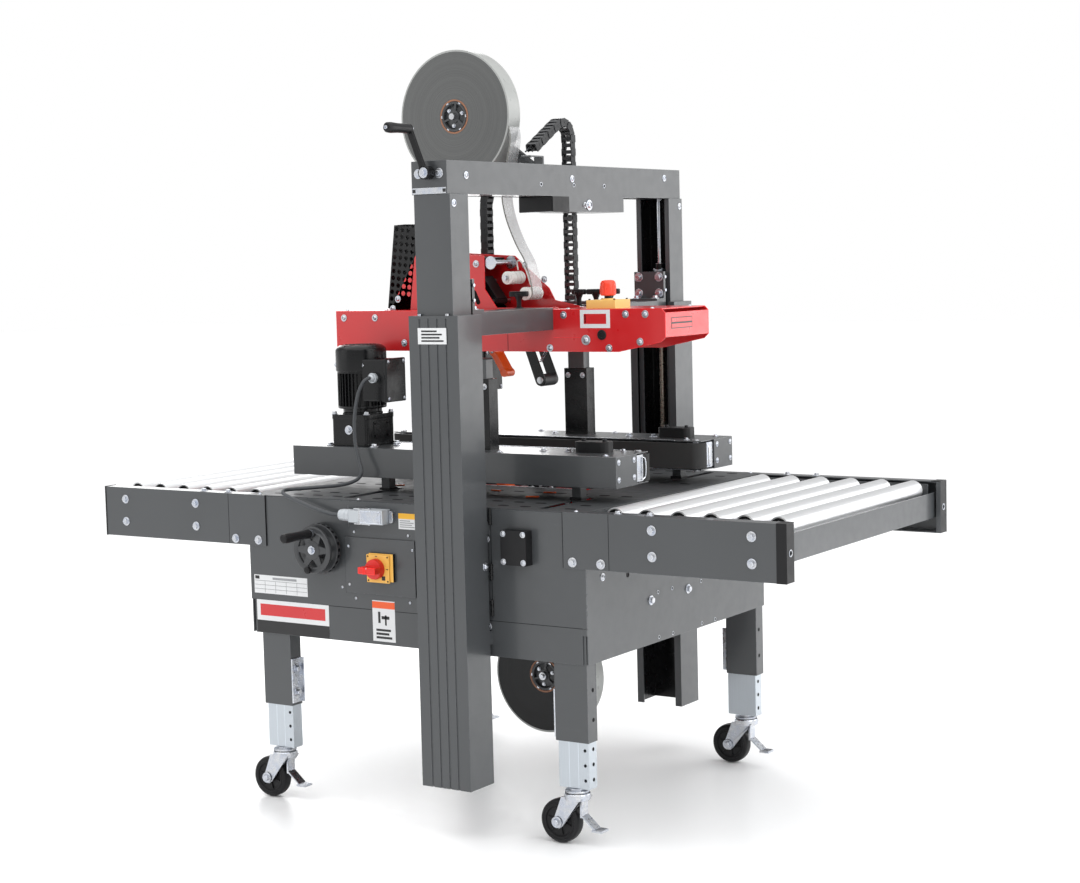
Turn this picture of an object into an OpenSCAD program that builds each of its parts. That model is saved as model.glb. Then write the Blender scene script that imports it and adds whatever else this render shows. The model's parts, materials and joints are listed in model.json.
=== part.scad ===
// Side-belt carton sealer: a bed with two roller conveyors, two side belt units that set the
// carton width, and an upper taping head that rides on two columns.
// X runs along the conveyor with the infeed end at +X, Y runs across it with the operator at -Y,
// and Z = 0 is the floor.  Millimetres.

/* [Conveyor] */
// Height of the conveyor rails above the floor
bed_height = 752; // [720:1:780]
// Length over both conveyors, without the end caps
rail_length = 1924; // [1880:2:2000]
// Width over the outside of the rails
rail_width = 866; // [860:2:880]
// Depth of the rail channels
rail_depth = 125; // [115:1:130]
// Diameter of the conveyor rollers
roller_d = 48; // [40:1:52]
// Distance between two rollers
roller_pitch = 80; // [78:1:81]

/* [Body] */
// Length of the body between the conveyors
body_length = 968; // [950:2:980]
// Width over the body panels
body_width = 860; // [850:2:860]
// Height of the body's lower edge above the floor
body_bottom = 412; // [380:1:440]
// Thickness of the body sheets
sheet = 3; // [2:0.5:4]
// Width of a leg
leg_width = 86; // [70:2:100]
// Depth of a leg
leg_depth = 38; // [34:1:50]
// Diameter of the caster wheels
caster_d = 100; // [80:5:100]

/* [Mast] */
// Place of the columns along the conveyor
column_x = 164; // [140:1:180]
// Width of the outer columns
outer_column_w = 134; // [124:2:140]
// Width of the inner columns
inner_column_w = 98; // [94:1:100]
// Height of the outer columns' top
outer_column_top = 1187; // [1150:1:1200]
// Underside of the crossbeam
beam_z = 1454; // [1440:1:1480]
// Height of the crossbeam
beam_h = 74; // [60:1:80]

/* [Taping head] */
// Height of the head casing's lower edge
head_z = 1086; // [1070:1:1100]
// Height of the head casing
head_h = 101; // [90:1:110]
// Width of the head casing
head_w = 210; // [200:2:216]
// Outer diameter of the upper tape roll
upper_roll_d = 326; // [200:2:330]
// Outer diameter of the lower tape roll
lower_roll_d = 284; // [200:2:290]
// Width of the tape
tape_w = 50; // [38:1:50]

/* [Side belts] */
// Distance between the two belts
belt_gap = 226; // [222:2:300]
// Height of the belts
belt_h = 63; // [50:1:64]
// Underside of the belt units
unit_z = 787; // [780:1:800]
// Height of the belt units
unit_h = 72; // [66:1:80]

/* [Hidden] */
$fn = 48;

paint = "#5a5c5f";
red = "#cf1b20";
black = "#1d1e20";
zinc = "#b9bcbf";
steel = "#a7abb0";
aluminium = "#b7bec2";
white = "#eceeee";
yellow = "#f3c54a";

running = 0.06;                         // radial clearance of a shaft in its bore
part_gap = 0.4;                         // room between bodies that slide past each other
front = -1;
rear = 1;
rail_end = rail_length / 2;
rail_y = rail_width / 2;
body_x = body_length / 2;
body_y = body_width / 2;
crease_z = 494;                         // where the body's skirt begins
flange = 35;

roller_count = 6;
roller_r = roller_d / 2;
roller_z = bed_height - 19;
roller_len = 720;
first_roller_x = body_x + 36;
axle_r = 6;

leg_x = [-412, 436];                    // centres of the legs along X
leg_y = 409;
sleeve_bottom = 236;
leg_bottom = 130;
wheel_r = caster_d / 2;
wheel_w = 32;
trail = 42;                             // distance from a caster's swivel to its axle
fork_top = leg_bottom - part_gap;
raceway_z = fork_top - 14;

outer_column_y = [439, 531];
inner_column_y = [452, 522];
column_bottom = 121;
inner_column_bottom = 300;
wall = 4;
screw_y = 488;
screw_r = 10;
beam_x = [111, 207];
beam_y = 523;
crank_x = 162;
crank_z = 1501;
shaft_r = 8;

arm_x = [119, 207];                     // the cross arms' width
arm_z = [1138, 1191];
head_x = [-451, 512];
head_y = head_w / 2;
head_top = head_z + head_h;
plate_y = 50;                           // taping head side plates
pivot_r = 8;
tape_roller_r = 15;
apply_roller_x = 117;
buff_roller_x = -111;
arm_roller_z = 1012;
arm_pivot_dx = 51;
arm_pivot_z = 1150;
knife_pivot = [22, 1130];
mirror_z = (head_z + bed_height) / 2;   // the lower head mirrors the upper one about this height

upper_roll_x = -121;
upper_roll_z = 1662;
lower_roll_x = 104;
lower_roll_z = 280;
core_r = 38;
head_chain_x = 88;

belt_t = 4;
pulley_r = 22;
belt_y = belt_gap / 2 + belt_t + pulley_r;
drive_x = -430;
idler_x = 452;
belt_z = unit_z + (unit_h - belt_h) / 2;
unit_x = [-461, 477];
unit_y = [186, 280];
motor_x = -300;
motor_y = 200;
gear_w = 115;
gear_h = 78;
unit_top = unit_z + unit_h;
post_x = [-200, 350];                   // posts that carry each unit
guide_z = 690;                          // guide rods under the deck
guide_r = 10;

wheel_x = -251;                         // handwheel
wheel_z = 633;
knob_x = -82;                           // main switch
knob_z = 595;
estop_x = 327;
estop_y = -50;

cord_r = 4.5;
cord_path = [
    [-223, -268, 1028], [-223, -273, 1028], [-230, -284, 1019], [-241, -293, 988], [-248, -299, 935],
    [-246, -303, 880], [-234, -307, 835], [-222, -312, 805], [-232, -320, 785],
    [-268, -332, 773], [-315, -352, 768], [-350, -380, 766], [-366, -408, 766],
    [-366, -432, 766], [-355, -447, 760], [-325, -450, 750], [-268, -450, 732],
    [-215, -447, 719], [-190, -447, 718], [-182.6, -447, 718]
];
cord_steps = 4;                         // rings along each stretch of the route
cord_sides = 8;

// ---------------------------------------------------------------- shared shapes

module box(x, y, z) {
    translate([x[0], y[0], z[0]]) cube([x[1] - x[0], y[1] - y[0], z[1] - z[0]]);
}

// The same shape on the operator's side (-1) or the far side (1).
module on_side(side) {
    if (side == front) mirror([0, 1, 0]) children();
    else children();
}

module both_sides() {
    on_side(front) children();
    on_side(rear) children();
}

// A cylinder that starts at p and runs along Y.
module y_rod(p, r, length) {
    translate(p) rotate([-90, 0, 0]) cylinder(r = r, h = length);
}

module x_rod(p, r, length) {
    translate(p) rotate([0, 90, 0]) cylinder(r = r, h = length);
}

// A flat outline in XZ, given thickness from y0 to y1.
module xz_plate(points, y0, y1) {
    translate([0, y1, 0]) rotate([90, 0, 0]) linear_extrude(y1 - y0) polygon(points);
}

module rounded_rect(w, d, r) {
    union() {
        square([w - 2 * r, d], center = true);
        square([w, d - 2 * r], center = true);
        for (x = [-1, 1], y = [-1, 1]) {
            translate([x * (w / 2 - r), y * (d / 2 - r)]) circle(r = r);
        }
    }
}

// A bar in XZ from a to b, with round eyes a little wider and thicker than the bar.
module link_bar(a, b, r, y0, y1) {
    angle = atan2(b[1] - a[1], b[0] - a[0]);
    translate([a[0], y0 + 0.5, a[1]]) rotate([0, -angle, 0]) translate([0, 0, -0.8 * r]) {
        cube([norm(b - a), y1 - y0 - 1, 1.6 * r]);
    }
    for (p = [a, b]) y_rod([p[0], y0, p[1]], r, y1 - y0);
}

// ---------------------------------------------------------------- body

module front_panel() {
    color(paint) difference() {
        union() {
            box([-body_x, body_x], [-body_y, -body_y + sheet], [crease_z, bed_height - sheet]);
            box([-body_x + 12, body_x - 12], [-body_y, -body_y + sheet], [body_bottom, crease_z]);
            box([leg_x[0] + leg_width / 2 + 2, leg_x[1] - leg_width / 2 - 2], [-body_y, -body_y + 24],
                [body_bottom, body_bottom + sheet]);
        }
        y_rod([wheel_x, -body_y - 1, wheel_z], shaft_r + running, 10);
        y_rod([knob_x, -body_y - 1, knob_z], 12, 10);
    }
}

module leg_sleeve(x) {
    difference() {
        box([x - leg_width / 2, x + leg_width / 2], [leg_y - leg_depth / 2, leg_y + leg_depth / 2 - 1],
            [sleeve_bottom, bed_height - 60]);
        box([x - leg_width / 2 + sheet, x + leg_width / 2 - sheet],
            [leg_y - leg_depth / 2 - 1, leg_y + leg_depth / 2 - 1 - sheet],
            [sleeve_bottom - 1, bed_height]);
    }
}

module bed_body() {
    color(paint) {
        difference() {
            box([-body_x, body_x], [body_y - sheet, body_y], [crease_z, bed_height - sheet]);
            y_rod([wheel_x, body_y - 10, wheel_z], shaft_r + running, 20);
        }
        box([-body_x + 12, body_x - 12], [body_y - sheet, body_y], [body_bottom, crease_z]);
        for (s = [-1, 1]) {
            x = s > 0 ? body_x - sheet : -body_x;
            difference() {
                box([x, x + sheet], [-body_y + sheet, body_y - sheet], [body_bottom, bed_height - sheet]);
                for (y = [-250, 250]) x_rod([x - 5, y, 590], 7, 20);
            }
        }
        both_sides() for (x = leg_x) leg_sleeve(x);
    }
}

module deck_slot(x, y, length, width) {
    translate([x, y, bed_height - sheet - 1]) linear_extrude(sheet + 2) {
        square([length - width, width], center = true);
        for (s = [-1, 1]) translate([s * (length - width) / 2, 0]) circle(d = width);
    }
}

module bed_deck() {
    post_slot_y = [186, 400];
    color(paint) difference() {
        union() {
            box([-body_x, body_x], [-body_y, body_y], [bed_height - sheet, bed_height]);
            for (s = [-1, 1]) {
                box([s * (body_x - 20) - 1.5, s * (body_x - 20) + 1.5], [-390, 390],
                    [bed_height - 40, bed_height - sheet]);
            }
        }
        box([-230, 260], [-58, 58], [bed_height - 10, bed_height + 5]);
        for (y = [-385, -320, -140, 140, 320, 385], x = [-420:60:420]) {
            near_post = min([for (post = post_x) abs(x - post)]) < 34 && abs(y) > 200;
            if (!near_post) deck_slot(x, y, 26, 11);
        }
        for (side = [-1, 1], x = post_x) {
            translate([x, side * (post_slot_y[0] + post_slot_y[1]) / 2, bed_height - sheet - 1])
                linear_extrude(sheet + 2) rounded_rect(28, post_slot_y[1] - post_slot_y[0], 10);
        }
    }
}

module inner_legs() {
    w = leg_width - 2 * sheet - 1;
    d = leg_depth - sheet - 4;
    y = leg_y - leg_depth / 2;
    color(aluminium) both_sides() for (x = leg_x) {
        difference() {
            box([x - w / 2, x + w / 2], [y, y + d], [leg_bottom, 420]);
            box([x - w / 2 + wall, x + w / 2 - wall], [y - 1, y + d - wall], [leg_bottom + 6, 421]);
            for (z = [150:34:220]) y_rod([x + w / 2 - 10, y - 1, z], 3.5, d + 2);
        }
    }
}

// ---------------------------------------------------------------- conveyors

module rail(s) {
    z0 = bed_height - rail_depth;
    x_in = body_x + 1;
    x_tab = body_x - 56;
    box(s > 0 ? [x_tab, rail_end] : [-rail_end, -x_tab], [rail_y - sheet, rail_y], [z0, bed_height]);
    for (z = [z0, bed_height - sheet]) {
        box(s > 0 ? [x_in, rail_end] : [-rail_end, -x_in], [rail_y - flange, rail_y], [z, z + sheet]);
    }
    // plate that carries the roller axles
    difference() {
        box(s > 0 ? [x_in + 2, rail_end - 16] : [-rail_end + 16, -x_in - 2], [384, 390], [z0 + 30, bed_height - 6]);
        for (i = [0:roller_count - 1]) {
            y_rod([s * (first_roller_x + i * roller_pitch), 380, roller_z], axle_r + running, 20);
        }
    }
    for (x = [body_x + 60, rail_end - 60]) {
        box([s * x - 12, s * x + 12], [388, rail_y - sheet], [z0 + 40, z0 + 46]);
    }
}

module conveyor_frame(s) {
    color(paint) {
        both_sides() rail(s);
        x = s * (rail_end - 7);
        box([x - 1.5, x + 1.5], [-rail_y + 1, rail_y - 1], [bed_height - 88, bed_height - 27]);
        xm = s * (body_x + 6);
        box([xm - 1.5, xm + 1.5], [-rail_y + 1, rail_y - 1], [bed_height - 110, bed_height - 60]);
    }
}

module end_cap(side) {
    on_side(side) difference() {
        box([rail_end, rail_end + 12], [rail_y - flange, rail_y], [bed_height - rail_depth, bed_height]);
        x_rod([rail_end + 4, rail_y - flange / 2, bed_height - rail_depth / 2], 6, 20);
    }
}

module infeed_frame() {
    conveyor_frame(1);
    color(black) {
        end_cap(front);
        end_cap(rear);
    }
}

module exit_frame() {
    conveyor_frame(-1);
}

// A tube with a bearing at each end; it turns on a fixed axle.
module conveyor_roller(x) {
    bearing_w = 12;
    color(white) difference() {
        y_rod([x, -roller_len / 2, roller_z], roller_r, roller_len);
        y_rod([x, -roller_len / 2 + bearing_w, roller_z], roller_r - 2, roller_len - 2 * bearing_w);
        y_rod([x, -roller_len / 2 - 1, roller_z], axle_r + running, roller_len + 2);
        for (y = [-roller_len / 2 - 1, roller_len / 2 - 5]) {
            difference() {
                y_rod([x, y, roller_z], roller_r - 3, 6);
                y_rod([x, y - 1, roller_z], 14, 8);
            }
        }
    }
}

module roller_axles() {
    color(steel) for (s = [-1, 1], i = [0:roller_count - 1]) {
        y_rod([s * (first_roller_x + i * roller_pitch), -390, roller_z], axle_r, 780);
    }
}

// ---------------------------------------------------------------- casters

module caster_fork(x) {
    axle_x = x - trail;
    color(zinc) {
        translate([x, leg_y, raceway_z]) cylinder(r = 27, h = 10);
        translate([x, leg_y, raceway_z + 10]) cylinder(r = 18, h = fork_top - raceway_z - 10);
        translate([x, leg_y, wheel_r + 54]) cylinder(r = 30, h = raceway_z - wheel_r - 54);
        for (y = [leg_y - wheel_w / 2 - 6, leg_y + wheel_w / 2 + 2]) {
            xz_plate([[x - 30, wheel_r + 60], [x + 26, wheel_r + 60], [axle_x + 14, wheel_r - 8],
                      [axle_x + 6, wheel_r - 14], [axle_x - 6, wheel_r - 14], [axle_x - 14, wheel_r - 6]], y, y + 4);
        }
        y_rod([axle_x, leg_y - wheel_w / 2 - 8, wheel_r], 6, wheel_w + 16);
        // brake pedal
        box([x + 13, x + 18], [leg_y - 13, leg_y + 13], [wheel_r + 14, wheel_r + 58]);
        translate([x + 14, leg_y, wheel_r + 18]) rotate([0, 40, 0]) {
            translate([0, -13, 0]) cube([44, 26, 4]);
        }
        translate([x + 44, leg_y - 15, wheel_r - 14]) cube([26, 30, 5]);
    }
}

module caster_wheel(x) {
    axle_x = x - trail;
    color(black) difference() {
        y_rod([axle_x, leg_y - wheel_w / 2, wheel_r], wheel_r, wheel_w);
        y_rod([axle_x, leg_y - wheel_w / 2 - 1, wheel_r], 6 + running, wheel_w + 2);
        for (y = [leg_y - wheel_w / 2 - 1, leg_y + wheel_w / 2 - 6]) {
            difference() {
                y_rod([axle_x, y, wheel_r], wheel_r - 16, 7);
                y_rod([axle_x, y - 1, wheel_r], 13, 9);
            }
        }
    }
}

// ---------------------------------------------------------------- columns and crossbeam

// Channel that opens towards the machine's middle.
module channel_column(w, y, z, opening, lip) {
    difference() {
        box([column_x - w / 2, column_x + w / 2], y, z);
        box([column_x - w / 2 + wall, column_x + w / 2 - wall], [y[0] + lip, y[1] - wall], [z[0] - 1, z[1] + 1]);
        box([column_x - opening / 2, column_x + opening / 2], [y[0] - 1, y[0] + lip + 1], [z[0] - 1, z[1] + 1]);
    }
}

module outer_columns() {
    color(paint) both_sides() {
        difference() {
            channel_column(outer_column_w, outer_column_y, [column_bottom, outer_column_top - 6], 96, 4);
            for (x = [-36, -12, 12, 36]) {
                box([column_x + x - 3, column_x + x + 3], [outer_column_y[1] - 2, outer_column_y[1] + 1],
                    [column_bottom - 1, outer_column_top]);
            }
        }
        // guides that hold the inner column
        for (s = [-1, 1], z = [column_bottom + 190, outer_column_top - 120]) {
            inner = column_x + s * inner_column_w / 2;
            outer = column_x + s * (outer_column_w / 2 - wall);
            box([min(inner, outer), max(inner, outer)], [460, 512], [z, z + 60]);
        }
        // cap around the inner column
        difference() {
            box([column_x - outer_column_w / 2, column_x + outer_column_w / 2], outer_column_y,
                [outer_column_top - 6, outer_column_top]);
            box([column_x - inner_column_w / 2, column_x + inner_column_w / 2],
                [outer_column_y[0] - 1, inner_column_y[1]], [outer_column_top - 7, outer_column_top + 1]);
        }
        // brackets that bolt the column to the body
        for (x = [column_x - 57, column_x + 57]) {
            box([x - 10, x + 10], [body_y, outer_column_y[0]], [440, 470]);
            box([x - 10, x + 10], [body_y, outer_column_y[0]], [690, 720]);
        }
    }
}

module inner_columns() {
    color(paint) both_sides() {
        channel_column(inner_column_w, inner_column_y, [inner_column_bottom, beam_z], 72, 4);
        // foot bearing of the lead screw
        difference() {
            box([column_x - inner_column_w / 2 + wall, column_x + inner_column_w / 2 - wall],
                [inner_column_y[0] + 4, inner_column_y[1] - wall], [inner_column_bottom, inner_column_bottom + 20]);
            translate([column_x, screw_y, inner_column_bottom + 8]) cylinder(r = screw_r + running, h = 20);
        }
    }
}

module crossbeam() {
    under_box = [beam_z - 37, beam_z];
    plate = [34, 38];
    color(paint) {
        difference() {
            box(beam_x, [-beam_y, beam_y], [beam_z, beam_z + beam_h]);
            box([beam_x[0] + sheet, beam_x[1] - sheet], [-beam_y + 6, beam_y - 6],
                [beam_z + sheet, beam_z + beam_h - sheet]);
            for (side = [-1, 1]) {
                translate([column_x, side * screw_y, beam_z - 1]) cylinder(r = screw_r + running, h = sheet + 2);
            }
            y_rod([crank_x, -beam_y - 1, crank_z], shaft_r + running, 10);
        }
        difference() {
            box([beam_x[0] + 1, beam_x[1]], [-96, 234], under_box);
            box([beam_x[0] + 3, beam_x[1] - 3], [-97, 231], [under_box[0] + 3, under_box[1] + 1]);
        }
        // bracket behind the upper tape roll, with its bent edge and the roll's spindle
        xz_plate([[beam_x[0], beam_z + 4], [beam_x[0], 1510], [71, 1541], [19, 1580], [-92, upper_roll_z + 27],
                  [-121, upper_roll_z + 38], [-152, upper_roll_z + 24], [-159, upper_roll_z - 4], [-20, 1500],
                  [60, beam_z + 4]], plate[0], plate[1]);
        xz_plate([[beam_x[0] + 2, 1507], [70, 1538], [18, 1577], [21, 1583], [73, 1544], [beam_x[0] + 2, 1514]],
                 tape_w / 2 + 3, plate[1] - 1);
        y_rod([upper_roll_x, -tape_w / 2 - 12, upper_roll_z], pivot_r, plate[0] + tape_w / 2 + 14);
        // tabs that hold the upper ends of the two energy chains
        box([head_chain_x - 13, head_chain_x + 13], [plate[0] - 4, plate[0] + 2], [1490, 1557]);
        box([head_chain_x - 13, head_chain_x + 13], [-26, plate[0]], [1553, 1557]);
        box([-8, beam_x[0] + 2], [80, 120], [1473, 1477]);
    }
}

// A bevel wheel under the beam's cover turns with each screw.
module lead_screw(side) {
    color(steel) translate([column_x, side * screw_y, 0]) {
        translate([0, 0, inner_column_bottom + 9]) cylinder(r = screw_r, h = beam_z + 24 - inner_column_bottom - 9);
        translate([0, 0, beam_z + 12]) cylinder(r = 24, h = 9);
    }
}

module crank() {
    arm_foot = [crank_x - 39, crank_z + 98];
    y = -beam_y - 16;
    color(black) {
        y_rod([crank_x, y, crank_z], shaft_r, 40);
        y_rod([crank_x, y - 8, crank_z], 15, 22);
        link_bar([crank_x, crank_z], arm_foot, 9, y - 8, y + 1);
        y_rod([arm_foot[0], y - 84, arm_foot[1]], 10, 82);
    }
}

// ---------------------------------------------------------------- taping head

module carriage() {
    color(black) difference() {
        union() {
            box([column_x - 43, column_x + 43], [457, 515], [1110, 1266]);
            box([column_x - 34, column_x + 34], [438, 457], [1110, 1266]);
            box(arm_x, [428, 438], [1110, 1266]);
            translate([column_x, screw_y, 1266]) cylinder(r = 16, h = 20);
        }
        translate([column_x, screw_y, 1100]) cylinder(r = screw_r + running, h = 200);
    }
}

module cross_arms() {
    both_sides() carriage();
    color(paint) both_sides() {
        difference() {
            box(arm_x, [head_y, 428], arm_z);
            box([arm_x[0] + sheet, arm_x[1] - sheet], [head_y - 1, 425], [arm_z[0] + sheet, arm_z[1] - sheet]);
        }
        box(arm_x, [392, 428], [arm_z[1], arm_z[1] + 6]);
    }
    // plate under the energy chain's lower end
    color(zinc) box([head_chain_x - 20, arm_x[0] + 30], [148, 181], [arm_z[1], arm_z[1] + 8]);
}

module head_casing() {
    side_outline = [
        [head_x[0], head_z + 8], [head_x[0] + 14, head_z], [386, head_z], [head_x[1] - 12, head_z + 23],
        [head_x[1], head_z + 34], [head_x[1], head_top - 10], [head_x[1] - 10, head_top], [head_x[0], head_top]
    ];
    color(red) {
        for (y = [-head_y, head_y - sheet]) xz_plate(side_outline, y, y + sheet);
        difference() {
            box([head_x[0], head_x[1] - 10], [-head_y, head_y], [head_top - sheet, head_top]);
            box([-360, 200], [-plate_y - 6, plate_y + 6], [head_top - 5, head_top + 1]);
        }
        box([head_x[1] - sheet, head_x[1]], [-head_y, head_y], [head_z + 34, head_top - 10]);
        box([head_x[0], head_x[0] + sheet], [-head_y, head_y], [head_z + 8, head_top]);
    }
    // emergency stop housing
    color(yellow) difference() {
        union() {
            box([estop_x - 40, estop_x + 40], [estop_y - 35, estop_y + 35], [head_top, head_top + 20]);
            translate([estop_x, estop_y, head_top + 20]) cylinder(r = 17, h = 3);
        }
        translate([estop_x, estop_y, head_top + 6]) cylinder(r = 9 + running, h = 20);
    }
}

module estop_button() {
    color(red) translate([estop_x, estop_y, head_top]) {
        translate([0, 0, 12]) cylinder(r = 9, h = 17);
        translate([0, 0, 29]) cylinder(r = 19, h = 33);
        translate([0, 0, 62]) cylinder(r = 16, h = 4);
    }
}

module upper_tape_head() {
    near_plate = [[-317, head_z + 24], [-317, head_top], [-229, 1331], [-26, 1318], [-26, 1236], [8, 1190],
                  [apply_roller_x + arm_pivot_dx + 18, 1190], [apply_roller_x + arm_pivot_dx + 18, head_z + 24]];
    far_plate = [[-317, head_z + 24], [-317, head_top], [-229, 1331], [0, 1316], [99, 1235], [116, 1205],
                 [apply_roller_x + arm_pivot_dx + 18, 1190], [apply_roller_x + arm_pivot_dx + 18, head_z + 24]];
    pivots = [apply_roller_x + arm_pivot_dx, buff_roller_x + arm_pivot_dx];
    guard_x = -326;
    color(red) {
        xz_plate(near_plate, -plate_y, -plate_y + sheet);
        xz_plate(far_plate, plate_y - sheet, plate_y);
        for (x = [-300, 60]) {
            both_sides() box([x, x + 6], [plate_y, head_y - sheet], [head_z + 26, head_z + 60]);
        }
    }
    color(steel) for (x = pivots) {
        y_rod([x, -plate_y, arm_pivot_z], pivot_r, 2 * plate_y);
    }
    color(steel) y_rod([knife_pivot[0], -plate_y, knife_pivot[1]], pivot_r, 2 * plate_y);
    // tension rollers and their pins
    color(white) {
        y_rod([27, -32, 1262], 16, 62);
        y_rod([78, -32, 1223], 16, 62);
    }
    color(steel) {
        y_rod([27, -36, 1262], 6, 2 + 36 + plate_y - sheet);
        y_rod([78, -36, 1223], 6, 2 + 36 + plate_y - sheet);
    }
    // perforated guard
    color(black) {
        xz_plate([[guard_x, 1190], [guard_x + 2.5, 1190], [guard_x + 30, 1404], [guard_x + 27.5, 1404]],
                 -plate_y, plate_y);
        for (y = [-plate_y, plate_y - 2]) {
            xz_plate([[guard_x + 2, 1190], [guard_x + 14, 1190], [guard_x + 42, 1396], [guard_x + 29, 1404]], y, y + 2);
        }
    }
}

// Two plates with a roller between them, on a pivot; the plates bend at the elbow.
module roller_arm(roller_x, colour) {
    pivot = [roller_x + arm_pivot_dx, arm_pivot_z];
    foot = [roller_x, arm_roller_z];
    elbow = [roller_x - 30, 1090];
    y_in = tape_w / 2 + 2;
    color(colour) difference() {
        union() {
            for (y = [-y_in - 4, y_in]) {
                link_bar(pivot, elbow, 13, y, y + 4);
                link_bar(elbow, foot, 14, y, y + 4);
            }
            y_rod([elbow[0], -y_in - 1, elbow[1]], 7, 2 * y_in + 2);
            y_rod([pivot[0], -y_in - 1, pivot[1]], 12, 2 * y_in + 2);
        }
        y_rod([pivot[0], -plate_y, pivot[1]], pivot_r + running, 2 * plate_y);
    }
    color(steel) {
        y_rod([foot[0], -y_in, foot[1]], tape_roller_r, 2 * y_in);
        y_rod([foot[0], -y_in - 5, foot[1]], 5, 2 * y_in + 10);
    }
}

module upper_knife_guard() {
    bend = [-30, 1080];
    color("#e8641c") difference() {
        union() {
            y_rod([knife_pivot[0], -20, knife_pivot[1]], 14, 40);
            link_bar(knife_pivot, bend, 9, -20, 20);
            link_bar(bend, [2, 1028], 10, -18, 18);
        }
        y_rod([knife_pivot[0], -21, knife_pivot[1]], pivot_r + running, 42);
    }
}

module mirrored_below() {
    translate([0, 0, 2 * mirror_z]) mirror([0, 0, 1]) children();
}

module lower_apply_arm() {
    mirrored_below() roller_arm(apply_roller_x, black);
}

module lower_buff_arm() {
    mirrored_below() roller_arm(buff_roller_x, black);
}

module lower_head_frame() {
    z_top = bed_height - 12;
    pivot_z = 2 * mirror_z - arm_pivot_z;
    hanger_y = 70;
    color(red) {
        for (y = [-plate_y, plate_y - sheet]) {
            difference() {
                xz_plate([[-220, z_top], [230, z_top], [230, 600], [120, 560], [-120, 560], [-220, 620]], y, y + sheet);
                y_rod([0, y - 1, 615], 22, 6);
            }
        }
        box([-220, -214], [-plate_y, plate_y], [640, z_top]);
    }
    color(steel) {
        for (x = [apply_roller_x + arm_pivot_dx, buff_roller_x + arm_pivot_dx]) {
            y_rod([x, -plate_y, pivot_z], pivot_r, 2 * plate_y);
        }
    }
    // rails that hang the head between the body's end panels
    color(paint) {
        for (y = [-hanger_y, hanger_y - 6]) box([-body_x + sheet, body_x - sheet], [y, y + 6], [672, 708]);
        for (x = [-205, 200], y = [-hanger_y, plate_y]) {
            box([x, x + 12], [y, y + hanger_y - plate_y], [672, 700]);
        }
        // rods that guide the side belt units' feet
        both_sides() for (x = post_x) y_rod([x, hanger_y, guide_z], guide_r, body_y - sheet - hanger_y);
        // bracket and spindle of the lower tape roll
        xz_plate([[60, 600], [150, 600], [lower_roll_x + 30, lower_roll_z - 30], [lower_roll_x - 30, lower_roll_z - 30]],
                 plate_y - 8, plate_y - sheet);
        y_rod([lower_roll_x, -tape_w / 2 - 8, lower_roll_z], pivot_r, tape_w / 2 + 8 + plate_y - 8);
    }
}

module tape_roll(x, z, d) {
    color("#8f9391") difference() {
        union() {
            y_rod([x, -tape_w / 2, z], d / 2, tape_w);
            y_rod([x, -tape_w / 2 - 2, z], core_r + 4, tape_w + 4);
        }
        y_rod([x, -tape_w / 2 - 5, z], pivot_r + running, tape_w + 10);
        y_rod([x, -tape_w / 2 - 5, z], core_r - 4, 18);
    }
}

// ---------------------------------------------------------------- energy chains

chain_w = 30;
chain_t = 20;

// Straight run of a chain along +Y from the origin, a little slimmer than the bends it joins.
module chain_run(length) {
    translate([-chain_t / 2 + 0.5, 0, -chain_w / 2 + 0.5]) cube([chain_t - 1, length, chain_w - 1]);
}

module chain_bend(r, angle) {
    rotate_extrude(angle = angle) translate([r - chain_t / 2, -chain_w / 2]) square([chain_t, chain_w]);
}

// Chain over the rear cross arm: up, over a bend and down to the roll bracket.
module head_chain() {
    bend = [130, 1602];
    bend_r = 40;
    bottom = arm_z[1] + 9;
    translate([head_chain_x, bend[0], bend[1]]) rotate([90, 0, 90]) {
        translate([bend_r, bottom - bend[1]]) chain_run(bend[1] - bottom + 3);
        chain_bend(bend_r, 120);
        rotate([0, 0, 120]) translate([bend_r, -3]) chain_run(143);
    }
}

// Chain behind the taping head: up and over a wide bend to the crossbeam.
module sensor_chain() {
    bend = [-50, 1440];
    bend_r = 68;
    bottom = head_top + 1;
    translate([bend[0], 100, bend[1]]) rotate([90, 0, 0]) {
        translate([-bend_r, bottom - bend[1]]) chain_run(bend[1] - bottom + 3);
        rotate([0, 0, 40]) chain_bend(bend_r, 140);
    }
}

module energy_chains() {
    color(black) {
        head_chain();
        sensor_chain();
    }
}

// ---------------------------------------------------------------- side belt units

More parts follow.
